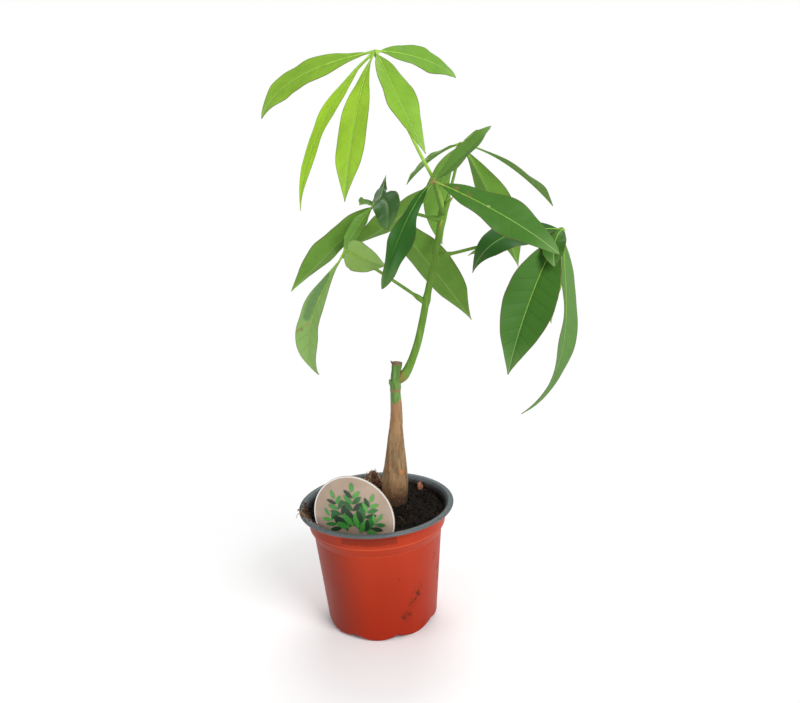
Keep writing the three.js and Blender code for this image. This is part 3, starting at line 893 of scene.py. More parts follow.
# %% Make the bark
BARK_DARK = (0.14, 0.083, 0.041)
BARK_LIGHT = (0.38, 0.235, 0.115)
BARK_PATCHES = (0.30, 0.20, 0.11)
BARK_DOTS = (0.42, 0.3, 0.18)
GREEN_DARK = (0.075, 0.17, 0.035)
GREEN_LIGHT = (0.16, 0.29, 0.07)
RING_BROWN = (0.27, 0.15, 0.07)
CORK_BROWN = (0.20, 0.115, 0.06)
BARK_BANDS = [
    (116, 88, 0, 0.9, (0.145, 0.056, 0.023)),
    # Soil on the bark and painted shade: the trunk's foot darkens to near black at the ground.
    (111, 97, 10, 0.85, (0.035, 0.02, 0.012)),
    (140, 168, 0, 0.55, (0.36, 0.18, 0.085)),
]
SCARS = [
    ((21.5, -4.6, 117.6), 3.2, (0.55, 0.2, 0.07)), ((12, -5, 124), 3.4, (0.34, 0.11, 0.06)),
    ((19.5, -4.5, 103), 2.2, (0.08, 0.045, 0.025)), ((14, -4, 142.6), 2.6, (0.14, 0.08, 0.04)),
    ((23, -1, 156), 1.6, (0.5, 0.2, 0.06)),
]
BORDER_SLANT = 0.35
BORDER_LEVEL = 167.5
RING_LEVEL = 182.5
TRUNK_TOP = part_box("trunk")[1].z / mm


def bark_finish():
    finish = Finish("bark", {"Specular IOR Level": 0.2})
    place = finish.place()
    x, _, height = finish.axes(place)
    streaks = finish.cloud(finish.stretched(place, (1, 1, 0.14)), 2.4, 5, 0.65)
    bark = finish.mix(finish.step(streaks, 0.3, 0.7), BARK_DARK, BARK_LIGHT)
    bark = finish.mix(finish.patches(place, 9, 0.45, 0.7) * 0.5, bark, BARK_PATCHES)
    for start, full, rag, share, colour in BARK_BANDS:
        band = finish.step(finish.ragged(height, place, 4, rag), start * mm, full * mm)
        bark = finish.mix(band * share, bark, colour)
    sockets = {"Vector": finish.stretched(place, (1, 1, 0.6)), "Scale": 450.0}
    dots = finish.node("TexVoronoi", None, sockets)
    bark = finish.mix(finish.step(dots, 0.2, 0.1) * 0.45, bark, BARK_DOTS)
    bark = finish.tinted(bark, place, SCARS, 0.85)
    fresh = finish.mix(finish.step(streaks, 0.4, 0.65), GREEN_DARK, GREEN_LIGHT)
    from_ring = abs(finish.ragged(height, place, 4, 3) - RING_LEVEL * mm)
    fresh = finish.mix(finish.step(from_ring, 1.7 * mm, 0.6 * mm) * 0.75, fresh, RING_BROWN)
    border = finish.ragged(height - x * BORDER_SLANT, place, 5, 6)
    above = finish.step(border, BORDER_LEVEL * mm, (BORDER_LEVEL + 1.2) * mm)
    body = finish.mix(above, bark, fresh)
    rim = finish.ragged(height, place, 2, 2)
    cork = finish.step(rim, (TRUNK_TOP - 1.6) * mm, (TRUNK_TOP - 0.4) * mm)
    body = finish.mix(cork, body, CORK_BROWN)
    roughness = 0.82 - finish.step(height, 168 * mm, 176 * mm) * 0.3
    return finish.dress(body, roughness, streaks + dots * 0.2, 0.5)


BARK = bark_finish()
print("bark finish:", BARK.name)

# %% [markdown]
# The trunk is a limb with many sides and steps, so that there are vertices enough to push
# about: long ridges and small lumps by noise, a knob or a dent at all but one of the scars, and
# two more knobs. The cut top is inset twice, which leaves the cork rim standing round the
# sunken wood, and a dead bud is joined to its side.

# %% Grow the trunk
TRUNK_ROUTE = [
    (13.5, 5, 55), (13.6, 5, 84), (14.8, 5, 100), (16.4, 4.5, 120), (18.2, 4, 145), (19.4, 4, 165),
    (19.9, 4, 185), (22, 4, 202.5),
]
TRUNK_RADII = [
    (0, 8.7), (0.07, 10.2), (0.25, 10.2), (0.36, 9.9), (0.41, 9.3), (0.46, 8.6), (0.55, 6.8), (0.6, 6.1),
    (0.65, 5.1), (0.75, 4.3), (0.84, 3.9), (0.87, 4.25), (0.9, 3.9), (0.96, 3.85), (0.99, 4.1), (1, 3.9),
]
KNOBS = [
    ((21.5, -4.6, 117.6), 3, 0.7), ((14, -4, 142.6), 3.5, 0.8), ((23, -1, 156), 2.5, 0.8),
    ((19.5, -4.5, 103), 2.2, -0.7), ((4, 6, 110), 4, 0.8), ((18, 14, 125), 4, 0.7),
]
RIDGE_HEIGHT = 0.45
GRAIN_HEIGHT = 0.18
BUD_ROUTE = [(18, 3.4, 184), (16.4, 2.6, 187), (15.6, 2.2, 190)]
BUD_RADII = [(0, 2), (0.6, 1.4), (1, 0.4)]


def roughen_bark(trunk):
    """Pushes the bark in and out along its normals: long ridges, small lumps and the knobs."""
    for vertex in trunk.data.vertices:
        point = vertex.co / mm
        ridge = noise.noise(Vector((point.x * 0.42, point.y * 0.42, point.z * 0.06)))
        grain = noise.noise(point * 0.55 + Vector((9, 0, 0)))
        push = RIDGE_HEIGHT * ridge + GRAIN_HEIGHT * grain
        for knob, reach, height in KNOBS:
            push += height * bell((point - Vector(knob)).length, reach)
        vertex.co += vertex.normal * push * mm


def sink_wound(trunk):
    """Two insets in the cut top: the cork rim stays, and the wood inside it lies lower."""
    edit(trunk)
    pick(trunk, "faces", lambda f: f.calc_center_median().z > (TRUNK_TOP - 2) * mm and f.normal.z > 0.8)
    for width, lift in ((0.9, -0.7), (1.6, 0.3)):
        bpy.ops.mesh.inset(thickness=width * mm)
        bpy.ops.transform.translate(value=(0, 0, lift * mm))
    close_edit()


def grow_trunk():
    trunk = limb("trunk_bark", TRUNK_ROUTE, TRUNK_RADII, BARK, sides=48, steps=150)
    roughen_bark(trunk)
    sink_wound(trunk)
    bud = limb("dead_bud", BUD_ROUTE, BUD_RADII, BARK, sides=12, steps=8)
    trunk = joined("trunk_bark", [trunk, bud])
    smooth(trunk, 60)
    return trunk


hand_in(grow_trunk(), "bark", "trunk")

# %% [markdown]
# ## The green shoot
# Young growth is smooth and green with faint lengthwise streaks. It is bright where it is
# youngest, so the finish reads a `tone` number from the mesh: 0 is fresh yellow-green and 1 is
# deep green. The same finish serves the leaf stalks and the midribs. Brown tints mark the scar
# where the shoot left the trunk, the buds' tips and the hub of the front leaf. A deep green tint
# at the top of the shoot and on the stalks there is painted shade, where the leaves hang over it.

# %% Make the green stem's finish
SHOOT_START = (24.5, 3.6, 192)
TIP_BUDS = [
    ([(61.5, 3, 312), (65, 0.6, 317.6), (68.5, -1, 322)], 1.3),
    ([(61.5, 3.5, 310), (64.5, 2.6, 320), (67.5, 2, 329)], 1.2),
    ([(60.5, 2, 306), (59, -1, 304.4), (57.5, -3.5, 301.5)], 1.0),
]
BUD_TINTS = [(route[-1], 4.5, (0.45, 0.2, 0.07)) for route, _ in TIP_BUDS]
# Painted shade: the top of the shoot, under the leaves, turns deep green.
TIP_PAINTED_SHADE = ((57.5, 0, 325), 22, (0.10, 0.21, 0.03))
FRONT_HUB_TINT = ((52, -46, 332), 5, (0.26, 0.15, 0.055))
STEM_FRESH = [(0.29, 0.49, 0.06), (0.38, 0.60, 0.10)]
STEM_DEEP = [(0.07, 0.165, 0.024), (0.10, 0.225, 0.035)]
STEM_SPECKS = (0.12, 0.13, 0.05)
SCAR_BROWN = (0.30, 0.15, 0.07)


def stem_finish():
    finish = Finish("green_stem", {"Specular IOR Level": 0.1})
    place = finish.place()
    streaks = finish.cloud(finish.stretched(place, (1, 1, 0.12)), 2.4, 2)
    streaked = finish.step(streaks, 0.35, 0.7)
    fresh = finish.mix(streaked, *STEM_FRESH)
    deep = finish.mix(streaked, *STEM_DEEP)
    body = finish.mix(finish.painted("tone"), fresh, deep)
    body = finish.mix(finish.patches(place, 1.6, 0.66, 0.74, 2) * 0.25, body, STEM_SPECKS)
    scar = finish.near(place, SHOOT_START, 7) * (0.4 + finish.patches(place, 3, 0.4, 0.6) * 0.6)
    body = finish.mix(scar, body, SCAR_BROWN)
    body = finish.tinted(body, place, BUD_TINTS, 0.75)
    # The painted shade at the shoot's top, and the brown hub of the front leaf.
    body = finish.tinted(body, place, [TIP_PAINTED_SHADE, FRONT_HUB_TINT], 0.6)
    return finish.dress(body, 0.55 + scar * 0.3, streaks, 0.08)


GREEN_STEM = stem_finish()
print("stem finish:", GREEN_STEM.name)

# %% [markdown]
# The shoot leaves the trunk's side with a swollen foot, thickens at each place where a leaf
# grows or grew, and ends in three small buds. Each bud is a limb of its own, joined to the
# shoot afterwards.

# %% Grow the shoot
SHOOT_ROUTE = [
    (21, 4, 188), (26, 3.5, 191.5), (31, 3, 199), (37.5, 2, 215), (42, 2, 231), (46, 2, 248), (50, 2, 264),
    (54, 2, 280), (57, 2, 294), (59.5, 2.5, 306.5), (61, 3, 316.5),
]
SHOOT_RADII = [
    (0, 3.2), (0.05, 3.9), (0.09, 3.4), (0.16, 2.9), (0.46, 2.6), (0.49, 3.2), (0.53, 2.6), (0.71, 2.4),
    (0.74, 3), (0.78, 2.4), (0.92, 2.4), (0.95, 2.9), (0.98, 2.4), (1, 1.6),
]


def grow_shoot():
    parts = [limb("shoot_stem", SHOOT_ROUTE, SHOOT_RADII, GREEN_STEM, tone=0.8, sides=24, steps=110)]
    for route, radius in TIP_BUDS:
        radii = [(0, radius), (0.4, radius), (0.8, radius * 0.6), (1, radius * 0.15)]
        parts.append(limb("tip_bud", route, radii, GREEN_STEM, tone=0.45, sides=12, steps=12))
    shoot = joined("shoot_stem", parts)
    smooth(shoot, 60)
    return shoot


hand_in(grow_shoot(), "green_stem", "shoot")

# %% [markdown]
# ## The leaf's finish
# A leaf has two faces. The upper one is darker and glossier, with a pale midrib and side veins
# that sink in. The underside is paler and matt, and its veins stand out. Both finishes follow
# the blade's own UV map: U runs across it and V from stalk to tip, so the veins bend forward on
# each leaflet alike, whichever way it hangs. A thin brownish line edges each blade.
#
# The mesh carries four numbers for its finish to read: `tone`, as on the stems; `reach`, the
# distance from the midrib in millimetres; `veined`, how strongly the side veins show; and the
# strength of a painted sheen, the greyish cast of a leaflet that is turned to the light. Thin
# leaves also glow with light from behind. A Translucent shader gives that, with a larger share
# the fresher the leaf and the weaker its painted sheen.

# %% Make the leaf's finishes
VEIN_PAIRS = 13
VEIN_SLANT = 1.0
LEAF_GLOW = (0.64, 0.86, 0.06)
# The grey of the painted sheen, a reflection painted on leaflets turned to the light.
LEAF_PAINTED_SHEEN = (0.28, 0.42, 0.19)
LEAF_MARGIN = (0.10, 0.085, 0.03)
STREAK_GREEN = (0.10, 0.20, 0.075)
LEAF_STREAK = [
    ((-23, -24, 273), 4), ((-25.2, -24, 269.7), 5), ((-27.8, -24, 266), 5.5), ((-30.4, -24, 262.3), 6),
    ((-33, -24, 258), 6), ((-35.4, -24, 253.6), 6), ((-37.4, -24, 249.5), 5.5), ((-39.2, -24, 245.5), 5),
]
SPOT_TAN = (0.40, 0.22, 0.09)
SPOT_BROWN = (0.22, 0.12, 0.05)
SPOT_DARK = (0.20, 0.11, 0.045)
LEAF_SPOTS = [
    ((-39.5, -25, 239.7), 2.6, SPOT_TAN), ((-43.9, -23.3, 236.2), 2.2, SPOT_BROWN),
    ((-46.7, -22.1, 234.9), 2.4, SPOT_BROWN), ((59.5, -47.5, 330), 3, SPOT_DARK),
    ((66, -50.5, 327), 3, SPOT_DARK), ((74, -53, 322.5), 3, SPOT_DARK),
    ((85.5, -58, 314), 1.5, (0.7, 0.6, 0.35)), ((118, -30, 218), 3, (0.22, 0.2, 0.05)),
]


def colour_of_tone(finish, tone, fresh, middle, deep):
    """Three leaf colours joined by the `tone` number: 0 fresh, 0.5 middle, 1 deep."""
    young = finish.mix(finish.step(tone, 0, 0.5), fresh, middle)
    return finish.mix(finish.step(tone, 0.5, 1), young, deep)


def side_veins(finish, along, side):
    """1 on the side veins, which leave the midrib by turns and fade before the margin."""
    from_rib = abs(side)
    behind = finish.step(side, -0.001, 0.001) * 0.5
    phase = (along * VEIN_PAIRS - from_rib * VEIN_SLANT + behind) % 1.0
    return finish.step(abs(phase - 0.5), 0.065, 0.02) * finish.step(from_rib, 1.0, 0.6)


def leaf_finish(name, colours, rib_colour, vein_colour, gloss):
    finish = Finish(name, {"Specular IOR Level": 0.1})
    place = finish.place()
    tone, veined, bloom = [finish.painted(number) for number in ("tone", "veined", "bloom")]
    across, along, _ = finish.axes(finish.node("TexCoord", output="UV"))
    side = across * 2 - 1
    mottle = finish.cloud(place, 7, 4)
    body = colour_of_tone(finish, tone, *colours)
    deeper = colour_of_tone(finish, tone, *colours[1:], colours[2])
    body = finish.mix(finish.step(mottle, 0.35, 0.75) * 0.15, body, deeper)
    # Painted sheen: a greyish cast where the leaflet is turned to the light.
    body = finish.mix(bloom, body, LEAF_PAINTED_SHEEN)
    body = finish.mix(finish.step(along, 0.75, 1.0) * 0.2, body, rib_colour)
    body = finish.mix(side_veins(finish, along, side) * veined * 0.4, body, vein_colour)
    midrib = finish.step(finish.painted("reach"), 0.5, 0.25)
    body = finish.mix(midrib * finish.step(veined, 0, 0.3) * 0.38, body, rib_colour)
    margin = finish.step(abs(side), 0.94, 0.985).over(finish.step(along, 0.975, 1.0))
    body = finish.mix(margin * 0.7, body, LEAF_MARGIN)
    body = finish.mix(finish.near_any(place, LEAF_STREAK) * 0.75, body, STREAK_GREEN)
    body = finish.tinted(body, place, LEAF_SPOTS, finish.patches(place, 2, 0.42, 0.55) * 0.7)
    glow = finish.node("BsdfTranslucent", None, {"Color": LEAF_GLOW})
    finish.blend(finish.step(tone, 0.5, 0) * 0.5 * finish.step(bloom, 0.5, 0), glow)
    return finish.dress(body, gloss + mottle * 0.12)


UPPER_COLOURS = [(0.50, 0.78, 0.05), (0.13, 0.29, 0.035), (0.024, 0.095, 0.014)]
UNDER_COLOURS = [(0.52, 0.78, 0.055), (0.155, 0.32, 0.045), (0.07, 0.16, 0.024)]
LEAF_UPPER = leaf_finish("leaf_upper", UPPER_COLOURS, (0.34, 0.50, 0.20), (0.02, 0.08, 0.012), 0.44)
LEAF_UNDER = leaf_finish("leaf_under", UNDER_COLOURS, (0.34, 0.50, 0.15), (0.22, 0.38, 0.10), 0.56)
print("leaf finishes:", LEAF_UPPER.name, LEAF_UNDER.name)

# %% [markdown]
# ## One leaflet
# Every leaflet starts as a flat grid. Its rows are strung along a curved midrib from the hub to
# the tip, and its columns spread sideways to the blade's outline, which begins as a short stalk.
# Solidify then gives the sheet its thickness, more along the midrib than at the edge. The side
# veins sink in as real grooves. These values shape a leaflet, and most leaflets keep the usual
# ones:
#
# - `tip` is the place of its tip, `width` its full width, `tone` the depth of its green.
# - `arch` lifts the midrib's middle, `bend` shifts that towards the tip, `lean` sways it aside.
# - `roll` turns the blade about its midrib, and `fold` lifts both halves into a shallow V.
# - `belly` is where it is widest, `full` below 1 makes it blunter, `drip` draws out its tip.
# - `wave` ripples the margins, `veined` deepens the side veins, and the painted sheen greys the green.
# - `rib_tone` is the green of the midrib's cord.

# %% Define the leaflet
BLADE_ROWS = 72
BLADE_COLUMNS = 18
OWN_STALK = 0.05
DRIP_LENGTH = 0.22
BLADE_THICKNESS = 1.0
EDGE_THICKNESS = 0.3
RIPPLE_HEIGHT = 1.1
GROOVE_DEPTH = 0.4
TROUGH_DEPTH = 0.35
TROUGH_REACH = 0.9


def leaflet(tip, arch, width, tone, **own):
    usual = {
        "lean": 0, "bend": 0.4, "roll": 0, "fold": 14, "belly": 0.56, "full": 1.1, "drip": 0.15,
        "wave": 1, "veined": 0.3, "bloom": 0, "rib_tone": tone * 0.6,
    }
    return {"tip": tip, "arch": arch, "width": width, "tone": tone, **usual, **own}


def outline(share, belly, full, drip):
    """Half the blade's width at a share of its length, 1 where it is widest."""

    def along(at):
        return max(0.0, (at - OWN_STALK) / (1 - OWN_STALK))

    power = math.log(0.5) / math.log(along(belly))
    spread = max(0.0, math.sin(math.pi * along(share) ** power)) ** full
    return spread * (1 - drip * max(0.0, (share - (1 - DRIP_LENGTH)) / DRIP_LENGTH))


def midrib_points(hub, shape):
    """The four control points of a midrib, and the direction that counts as up for it."""
    start, end = Vector(hub), Vector(shape["tip"])
    chord = end - start
    line = chord.normalized()
    up = (Vector((0, 0, 1)) - line * line.z).normalized()
    lift = shape["arch"] * 8 / 3
    sway = line.cross(up) * (shape["lean"] * 4 / 3)
    first = start + chord * 0.25 + up * (lift * (1 - shape["bend"])) + sway
    second = start + chord * 0.7 + up * (lift * shape["bend"]) + sway
    return [start, first, second, end], up


def on_bezier(points, t):
    """Point and direction on a cubic curve."""
    a, b, c, d = points
    point = a * (1 - t) ** 3 + b * 3 * t * (1 - t) ** 2 + c * 3 * t * t * (1 - t) + d * t**3
    direction = (b - a) * (1 - t) ** 2 + (c - b) * 2 * t * (1 - t) + (d - c) * t * t
    return point, direction.normalized()


def blade_rows(hub, shape):
    """For each row of the grid: midrib point, across, face direction and half width."""
    points, up = midrib_points(hub, shape)
    rows = []
    for row in range(BLADE_ROWS + 1):
        share = row / BLADE_ROWS
        centre, forward = on_bezier(points, share)
        level = forward.cross(up).normalized()
        across = Matrix.Rotation(math.radians(shape["roll"]), 3, forward) @ level
        spread = outline(share, shape["belly"], shape["full"], shape["drip"])
        half = max(0.45 - 0.3 * share, shape["width"] / 2 * spread)
        rows.append((centre, across, across.cross(forward), half))
    return rows


def blade_point(row, q, share, shape, seed):
    """A point of the upper face. q runs from -1 at one margin to 1 at the other."""
    centre, across, face, half = row
    slope = math.radians(shape["fold"])
    fullness = half / (shape["width"] / 2)
    side = (q > 0) - (q < 0)
    wave = shape["wave"] * q * q * math.sin(2 * math.pi * (2.5 * share + 0.2 * side))
    ripple = RIPPLE_HEIGHT * noise.noise(Vector((share * 9, q * 1.5, seed))) * q * q
    phase = share * VEIN_PAIRS - abs(q) * VEIN_SLANT + (0.5 if q > 0 else 0)
    furrow = 0.5 - 0.5 * math.cos(2 * math.pi * phase)
    groove = GROOVE_DEPTH * shape["veined"] * furrow * math.sin(math.pi * min(1, abs(q) * 1.05))
    trough = TROUGH_DEPTH * bell(q * half, TROUGH_REACH)
    lift = half * abs(q) * math.sin(slope) + (wave + ripple - groove) * fullness - trough
    reach = half * q * math.cos(slope) * (1 + 0.03 * noise.noise(Vector((share * 11, seed, q > 0))))
    return centre + across * reach + face * lift


def blade(hub, shape, seed):
    """One leaflet as a solid sheet: its upper face, and its underside and edge."""
    deselect()
    bpy.ops.mesh.primitive_grid_add(x_subdivisions=BLADE_COLUMNS, y_subdivisions=BLADE_ROWS, size=2)
    sheet = bpy.context.object
    mesh = sheet.data
    rows = blade_rows(hub, shape)
    rib = sheet.vertex_groups.new(name="rib")
    reaches, places = [], []
    for vertex in mesh.vertices:
        q = math.copysign(abs(vertex.co.x) ** 1.5, vertex.co.x)
        row = round((vertex.co.y + 1) / 2 * BLADE_ROWS)
        share = row / BLADE_ROWS
        reaches.append(abs(q) * rows[row][3])
        places.append((q, share))
        rib.add([vertex.index], (1 - abs(q)) ** 3 * (1 - 0.7 * share), "REPLACE")
        vertex.co = blade_point(rows[row], q, share, shape, seed) * mm
    for loop in mesh.loops:
        q, share = places[loop.vertex_index]
        mesh.uv_layers.active.data[loop.index].uv = ((q + 1) / 2, share)
    mesh.attributes.new("reach", "FLOAT", "POINT").data.foreach_set("value", reaches)
    for number in ("tone", "veined", "bloom"):
        paint_value(sheet, number, shape[number])
    coat(sheet, LEAF_UPPER, LEAF_UNDER, LEAF_UNDER)
    solid = sheet.modifiers.new("thickness", "SOLIDIFY")
    solid.thickness = BLADE_THICKNESS * mm
    solid.offset = -1
    solid.vertex_group = "rib"
    solid.thickness_vertex_group = EDGE_THICKNESS / BLADE_THICKNESS
    solid.material_offset = 1
    solid.material_offset_rim = 2
    apply_modifiers(sheet)
    return sheet


print("leaflet helper ready")

# %% [markdown]
# ## The six compound leaves
# A money tree's leaf is a hand of leaflets on one long stalk. Each stalk leaves the shoot with
# a swollen joint and ends in a hub. The routes and tips are the CAD model's own, chosen from the
# photograph. A leaf is listed with its stalk's tone and route and then its leaflets, each with
# its tip, arch, width, tone and what else is its own.


# %% List the leaves
def compound_leaf(stalk_tone, stalk, *leaflets):
    return {"stalk_tone": stalk_tone, "stalk": stalk, "leaflets": leaflets}


LEAVES = {
    "leaf_top": compound_leaf(
        0.0,
        [(60.5, 3, 314), (58.5, 1, 325), (54, -4, 336), (45, -9, 354), (30, -15, 388), (19, -18, 418)],
        leaflet((-59, -22, 379), 10, 21, 0.33, bend=0.75, roll=-50, fold=0, belly=0.6, full=0.85),
        leaflet((-35, -48, 318), 11, 18, 0.02, bend=0.56, roll=-8, fold=2, belly=0.5, bloom=0.1),
        leaflet((-5, -62, 322), 8, 22, 0.22, lean=-1, fold=5, belly=0.62, bloom=0.04),
        leaflet((48, -52, 349), 6, 23, 0.35, lean=7, roll=10, belly=0.54),
        leaflet((75, 14, 404), 5, 22, 0.42, bend=0.65, roll=55, fold=0, belly=0.6, full=0.85),
    ),
    "leaf_front": compound_leaf(
        0.85,
        [(61, 3, 310), (59, -6, 314), (56, -22, 322), (52, -46, 332)],
        leaflet((97, 6, 369), -1, 13, 1.0, roll=-80, fold=15, full=0.75, veined=0, rib_tone=1),
        leaflet(
            (127, -74, 283), 3.5, 27, 0.84,
            bend=0.6, roll=45, fold=6, belly=0.58, full=0.9, wave=1.8, veined=0.5,
        ),
        leaflet(
            (16, -86, 269), 6, 17, 1.0,
            roll=-70, fold=30, belly=0.66, full=0.75, wave=3, veined=0, rib_tone=1,
        ),
        leaflet((-12, 9, 289), -4, 22, 0.6, lean=3, roll=20, belly=0.5),
    ),
    "leaf_back": compound_leaf(
        0.8,
        [(61, 3, 312), (65, 10, 320), (72, 24, 338), (79, 40, 361)],
        leaflet((36, 28, 333), 4, 16, 0.65, wave=0.5),
        leaflet((111, 104, 377), 0, 7, 0.6, roll=40),
        leaflet((62, 44, 286), 8, 26, 0.6, lean=-5, roll=40),
        leaflet((125, 62, 264), 4, 31, 0.5, roll=-20),
        leaflet((152, 54, 311), 7, 22, 0.5, roll=5, belly=0.72, veined=0.1, bloom=0.25),
    ),
    "leaf_right": compound_leaf(
        0.8,
        [(56, 2, 281.5), (64, 0, 281.5), (83, 0, 285), (115, -4, 291), (145, -8, 295)],
        leaflet((98, -42, 200), 4, 39, 0.85, lean=2, roll=-45, fold=24, belly=0.54, veined=1.0),
        leaflet((114, -2, 158), -17, 25, 0.8, bend=0.85, roll=-150, belly=0.48, bloom=0.18),
        leaflet((134, -28, 271), 5, 17, 0.85, lean=2, fold=10, full=0.8),
        # This leaflet's deepest tone is partly painted shade, where the front leaf hangs over it.
        leaflet((78, -20, 269), 13, 30, 1.0, bend=0.7, roll=-35, fold=0, belly=0.5),
        leaflet((80, 25, 278), 5, 20, 0.38, roll=-35, fold=0),
        leaflet((144, 32, 221), 2, 20, 0.4, roll=-40, fold=6),
    ),
    "leaf_upper_left": compound_leaf(
        0.8,
        [(60, 2.5, 306), (52, 3, 308), (36, 3, 313), (13, -6, 320)],
        leaflet(
            (21, -66, 304), 8, 20, 0.92,
            lean=-4, roll=36, fold=4, full=0.55, drip=0, veined=0.05, rib_tone=1,
        ),
        leaflet((21, 42, 341), -4, 12, 1.0, roll=-20, belly=0.32),
        leaflet((0, 40, 320), 1, 11, 0.6, roll=30),
        leaflet((83, 40, 226), 3, 33, 0.62, roll=-30, drip=0.4),
        leaflet((-11, -18, 289), 2, 11, 0.56, lean=-2, roll=-50, belly=0.6, bloom=0.1),
        leaflet((-55, 18, 259), 0, 29, 0.6, roll=20, belly=0.5, full=0.8, drip=0.6),
    ),
    "leaf_lower_left": compound_leaf(
        0.8,
        [(45, 2, 247), (36.5, 0, 254), (18, -10, 269), (-9, -24, 290)],
        leaflet((18, -62, 281), -1, 21, 0.3, roll=75, belly=0.36, full=0.8, bloom=0.42),
        leaflet(
            (-34, -26, 203), 12, 23, 0.37,
            bend=0.8, roll=-45, belly=0.66, full=0.95, veined=0.6, bloom=0.45,
        ),
        leaflet((2, 60, 276), -4, 24, 0.55),
    ),
}
print("leaves:", len(LEAVES), "leaflets:", sum(len(leaf["leaflets"]) for leaf in LEAVES.values()))

# %% [markdown]
# A leaf grows in the order in which it is listed: first its stalk, a limb with a thick joint at
# one end and a hub at the other, and then each blade with the cord of its midrib. The parts are
# joined to one piece, because the CAD model has one node for a whole leaf.

# %% Grow the leaves
STALK_RADIUS = 1.1
JOINT_RADIUS = 2.1
JOINT_LENGTH = 9
HUB_RADIUS = 1.9
RIB_RADII = [(0, 1.1), (0.05, 0.8), (0.15, 0.5), (0.7, 0.3), (1, 0.12)]
LEAF_SLOTS = {"leaf_top": "young_leaf"}


def route_length(route):
    return sum((Vector(b) - Vector(a)).length for a, b in zip(route, route[1:]))


def grow_stalk(leaf):
    route = leaf["stalk"]
    joint = JOINT_LENGTH / route_length(route)
    radii = [
        (0, JOINT_RADIUS), (joint * 0.7, JOINT_RADIUS), (joint * 1.2, STALK_RADIUS * 1.1),
        (0.5, STALK_RADIUS), (0.94, STALK_RADIUS), (0.985, HUB_RADIUS), (1, HUB_RADIUS * 0.8),
    ]
    return limb("stalk", route, radii, GREEN_STEM, tone=leaf["stalk_tone"], sides=16, steps=60)


def grow_rib(hub, shape):
    """The midrib's raised cord on the underside, which starts as the leaflet's own stalk."""
    route = []
    for row, (centre, _, face, _) in enumerate(blade_rows(hub, shape)[:-2:4]):
        route.append(centre - face * min(0.62, 0.15 + 0.03 * row))
    return limb("rib", route, RIB_RADII, GREEN_STEM, tone=shape["rib_tone"], sides=10, steps=36)


def grow_leaf(name, leaf):
    hub = leaf["stalk"][-1]
    parts = [grow_stalk(leaf)]
    for number, shape in enumerate(leaf["leaflets"]):
        parts.append(blade(hub, shape, number * 3.7 + len(name)))
        parts.append(grow_rib(hub, shape))
    foliage = joined(name + "_foliage", parts)
    smooth(foliage, 50)
    return foliage


for name, leaf in LEAVES.items():
    hand_in(grow_leaf(name, leaf), LEAF_SLOTS.get(name, "mature_leaf"), name)

# %% [markdown]
# ## The plant label
# A round card with a stake stands in the soil at the front left. It is beige with a pale
# border, and its print is a plain design in several greens. All of them are the same satin
# card with a fine fibre, so one function makes the finishes from two shades each.

# %% Make the card's finishes
LABEL_CENTRE = Vector((-15.1, -39.2, 99.5))
LABEL_YAW = math.radians(20)
LABEL_RADIUS = 31.5
LABEL_THICKNESS = 0.8
LABEL_CUT = 14
LABEL_FRAME = Matrix.Translation(LABEL_CENTRE * mm) @ Matrix.Rotation(-LABEL_YAW, 4, "Z")
LABEL_FRAME = LABEL_FRAME @ Matrix.Rotation(math.pi / 2, 4, "X")
CARD_FIBRE = (0.7, 0.66, 0.6)


def card_finish(name, dark, light):
    finish = Finish(name, {"Specular IOR Level": 0.5})
    place = finish.place()
    fade = finish.cloud(place, 24, 2)
    grain = finish.cloud(place, 0.6, 2)
    body = finish.mix(finish.step(fade, 0.3, 0.7), dark, light)
    body = finish.mix(grain * 0.04, body, CARD_FIBRE)
    return finish.dress(body, 0.3 + fade * 0.15, grain, 0.02)


CARD = card_finish("label_beige", (0.36, 0.265, 0.19), (0.47, 0.36, 0.275))
BORDER = card_finish("label_white", (0.74, 0.73, 0.72), (0.84, 0.83, 0.82))
PRINT_GREENS = [
    card_finish("label_green_deep", (0.004, 0.03, 0.008), (0.01, 0.06, 0.014)),
    card_finish("label_green", (0.008, 0.10, 0.014), (0.02, 0.2, 0.028)),
    card_finish("label_green_pale", (0.03, 0.24, 0.03), (0.10, 0.40, 0.06)),
]
print("card finishes:", CARD.name, BORDER.name, len(PRINT_GREENS), "greens")

# %% [markdown]
# The card is a flat cylinder, cut level below its middle. Its stake is a flat bar whose end
# face is narrowed and then extruded to a point. Both are made lying flat round the origin, and
# one matrix stands them up in their place at the end.

# %% Cut the card
STAKE_WIDTH = 14
STAKE_LENGTH = 52
STAKE_OVERLAP = 2
STAKE_POINT = 8


def cut_level(level):
    """Cuts the open mesh level, at a height below the disc's middle, and closes the cut."""
    bpy.ops.mesh.bisect(plane_co=(0, level, 0), plane_no=(0, -1, 0), use_fill=True, clear_outer=True)


def cut_stake():
    """A flat bar, narrower towards its foot, with a point extruded from its end."""
    deselect()
    top = LABEL_CUT - STAKE_OVERLAP
    length = STAKE_LENGTH - top
    bpy.ops.mesh.primitive_cube_add(size=1, location=(0, -(top + length / 2) * mm, 0))
    stake = bpy.context.object
    stake.scale = (STAKE_WIDTH * mm, length * mm, LABEL_THICKNESS * 0.98 * mm)
    bpy.ops.object.transform_apply()
    edit(stake)
    pick(stake, "faces", lambda f: f.normal.y < -0.9)
    bpy.ops.transform.resize(value=(0.8, 1, 1))
    bpy.ops.transform.translate(value=(0, STAKE_POINT * mm, 0))
    bpy.ops.mesh.extrude_region_move(TRANSFORM_OT_translate={"value": (0, -STAKE_POINT * mm, 0)})
    bpy.ops.transform.resize(value=(0.05, 1, 1))
    close_edit()
    return stake


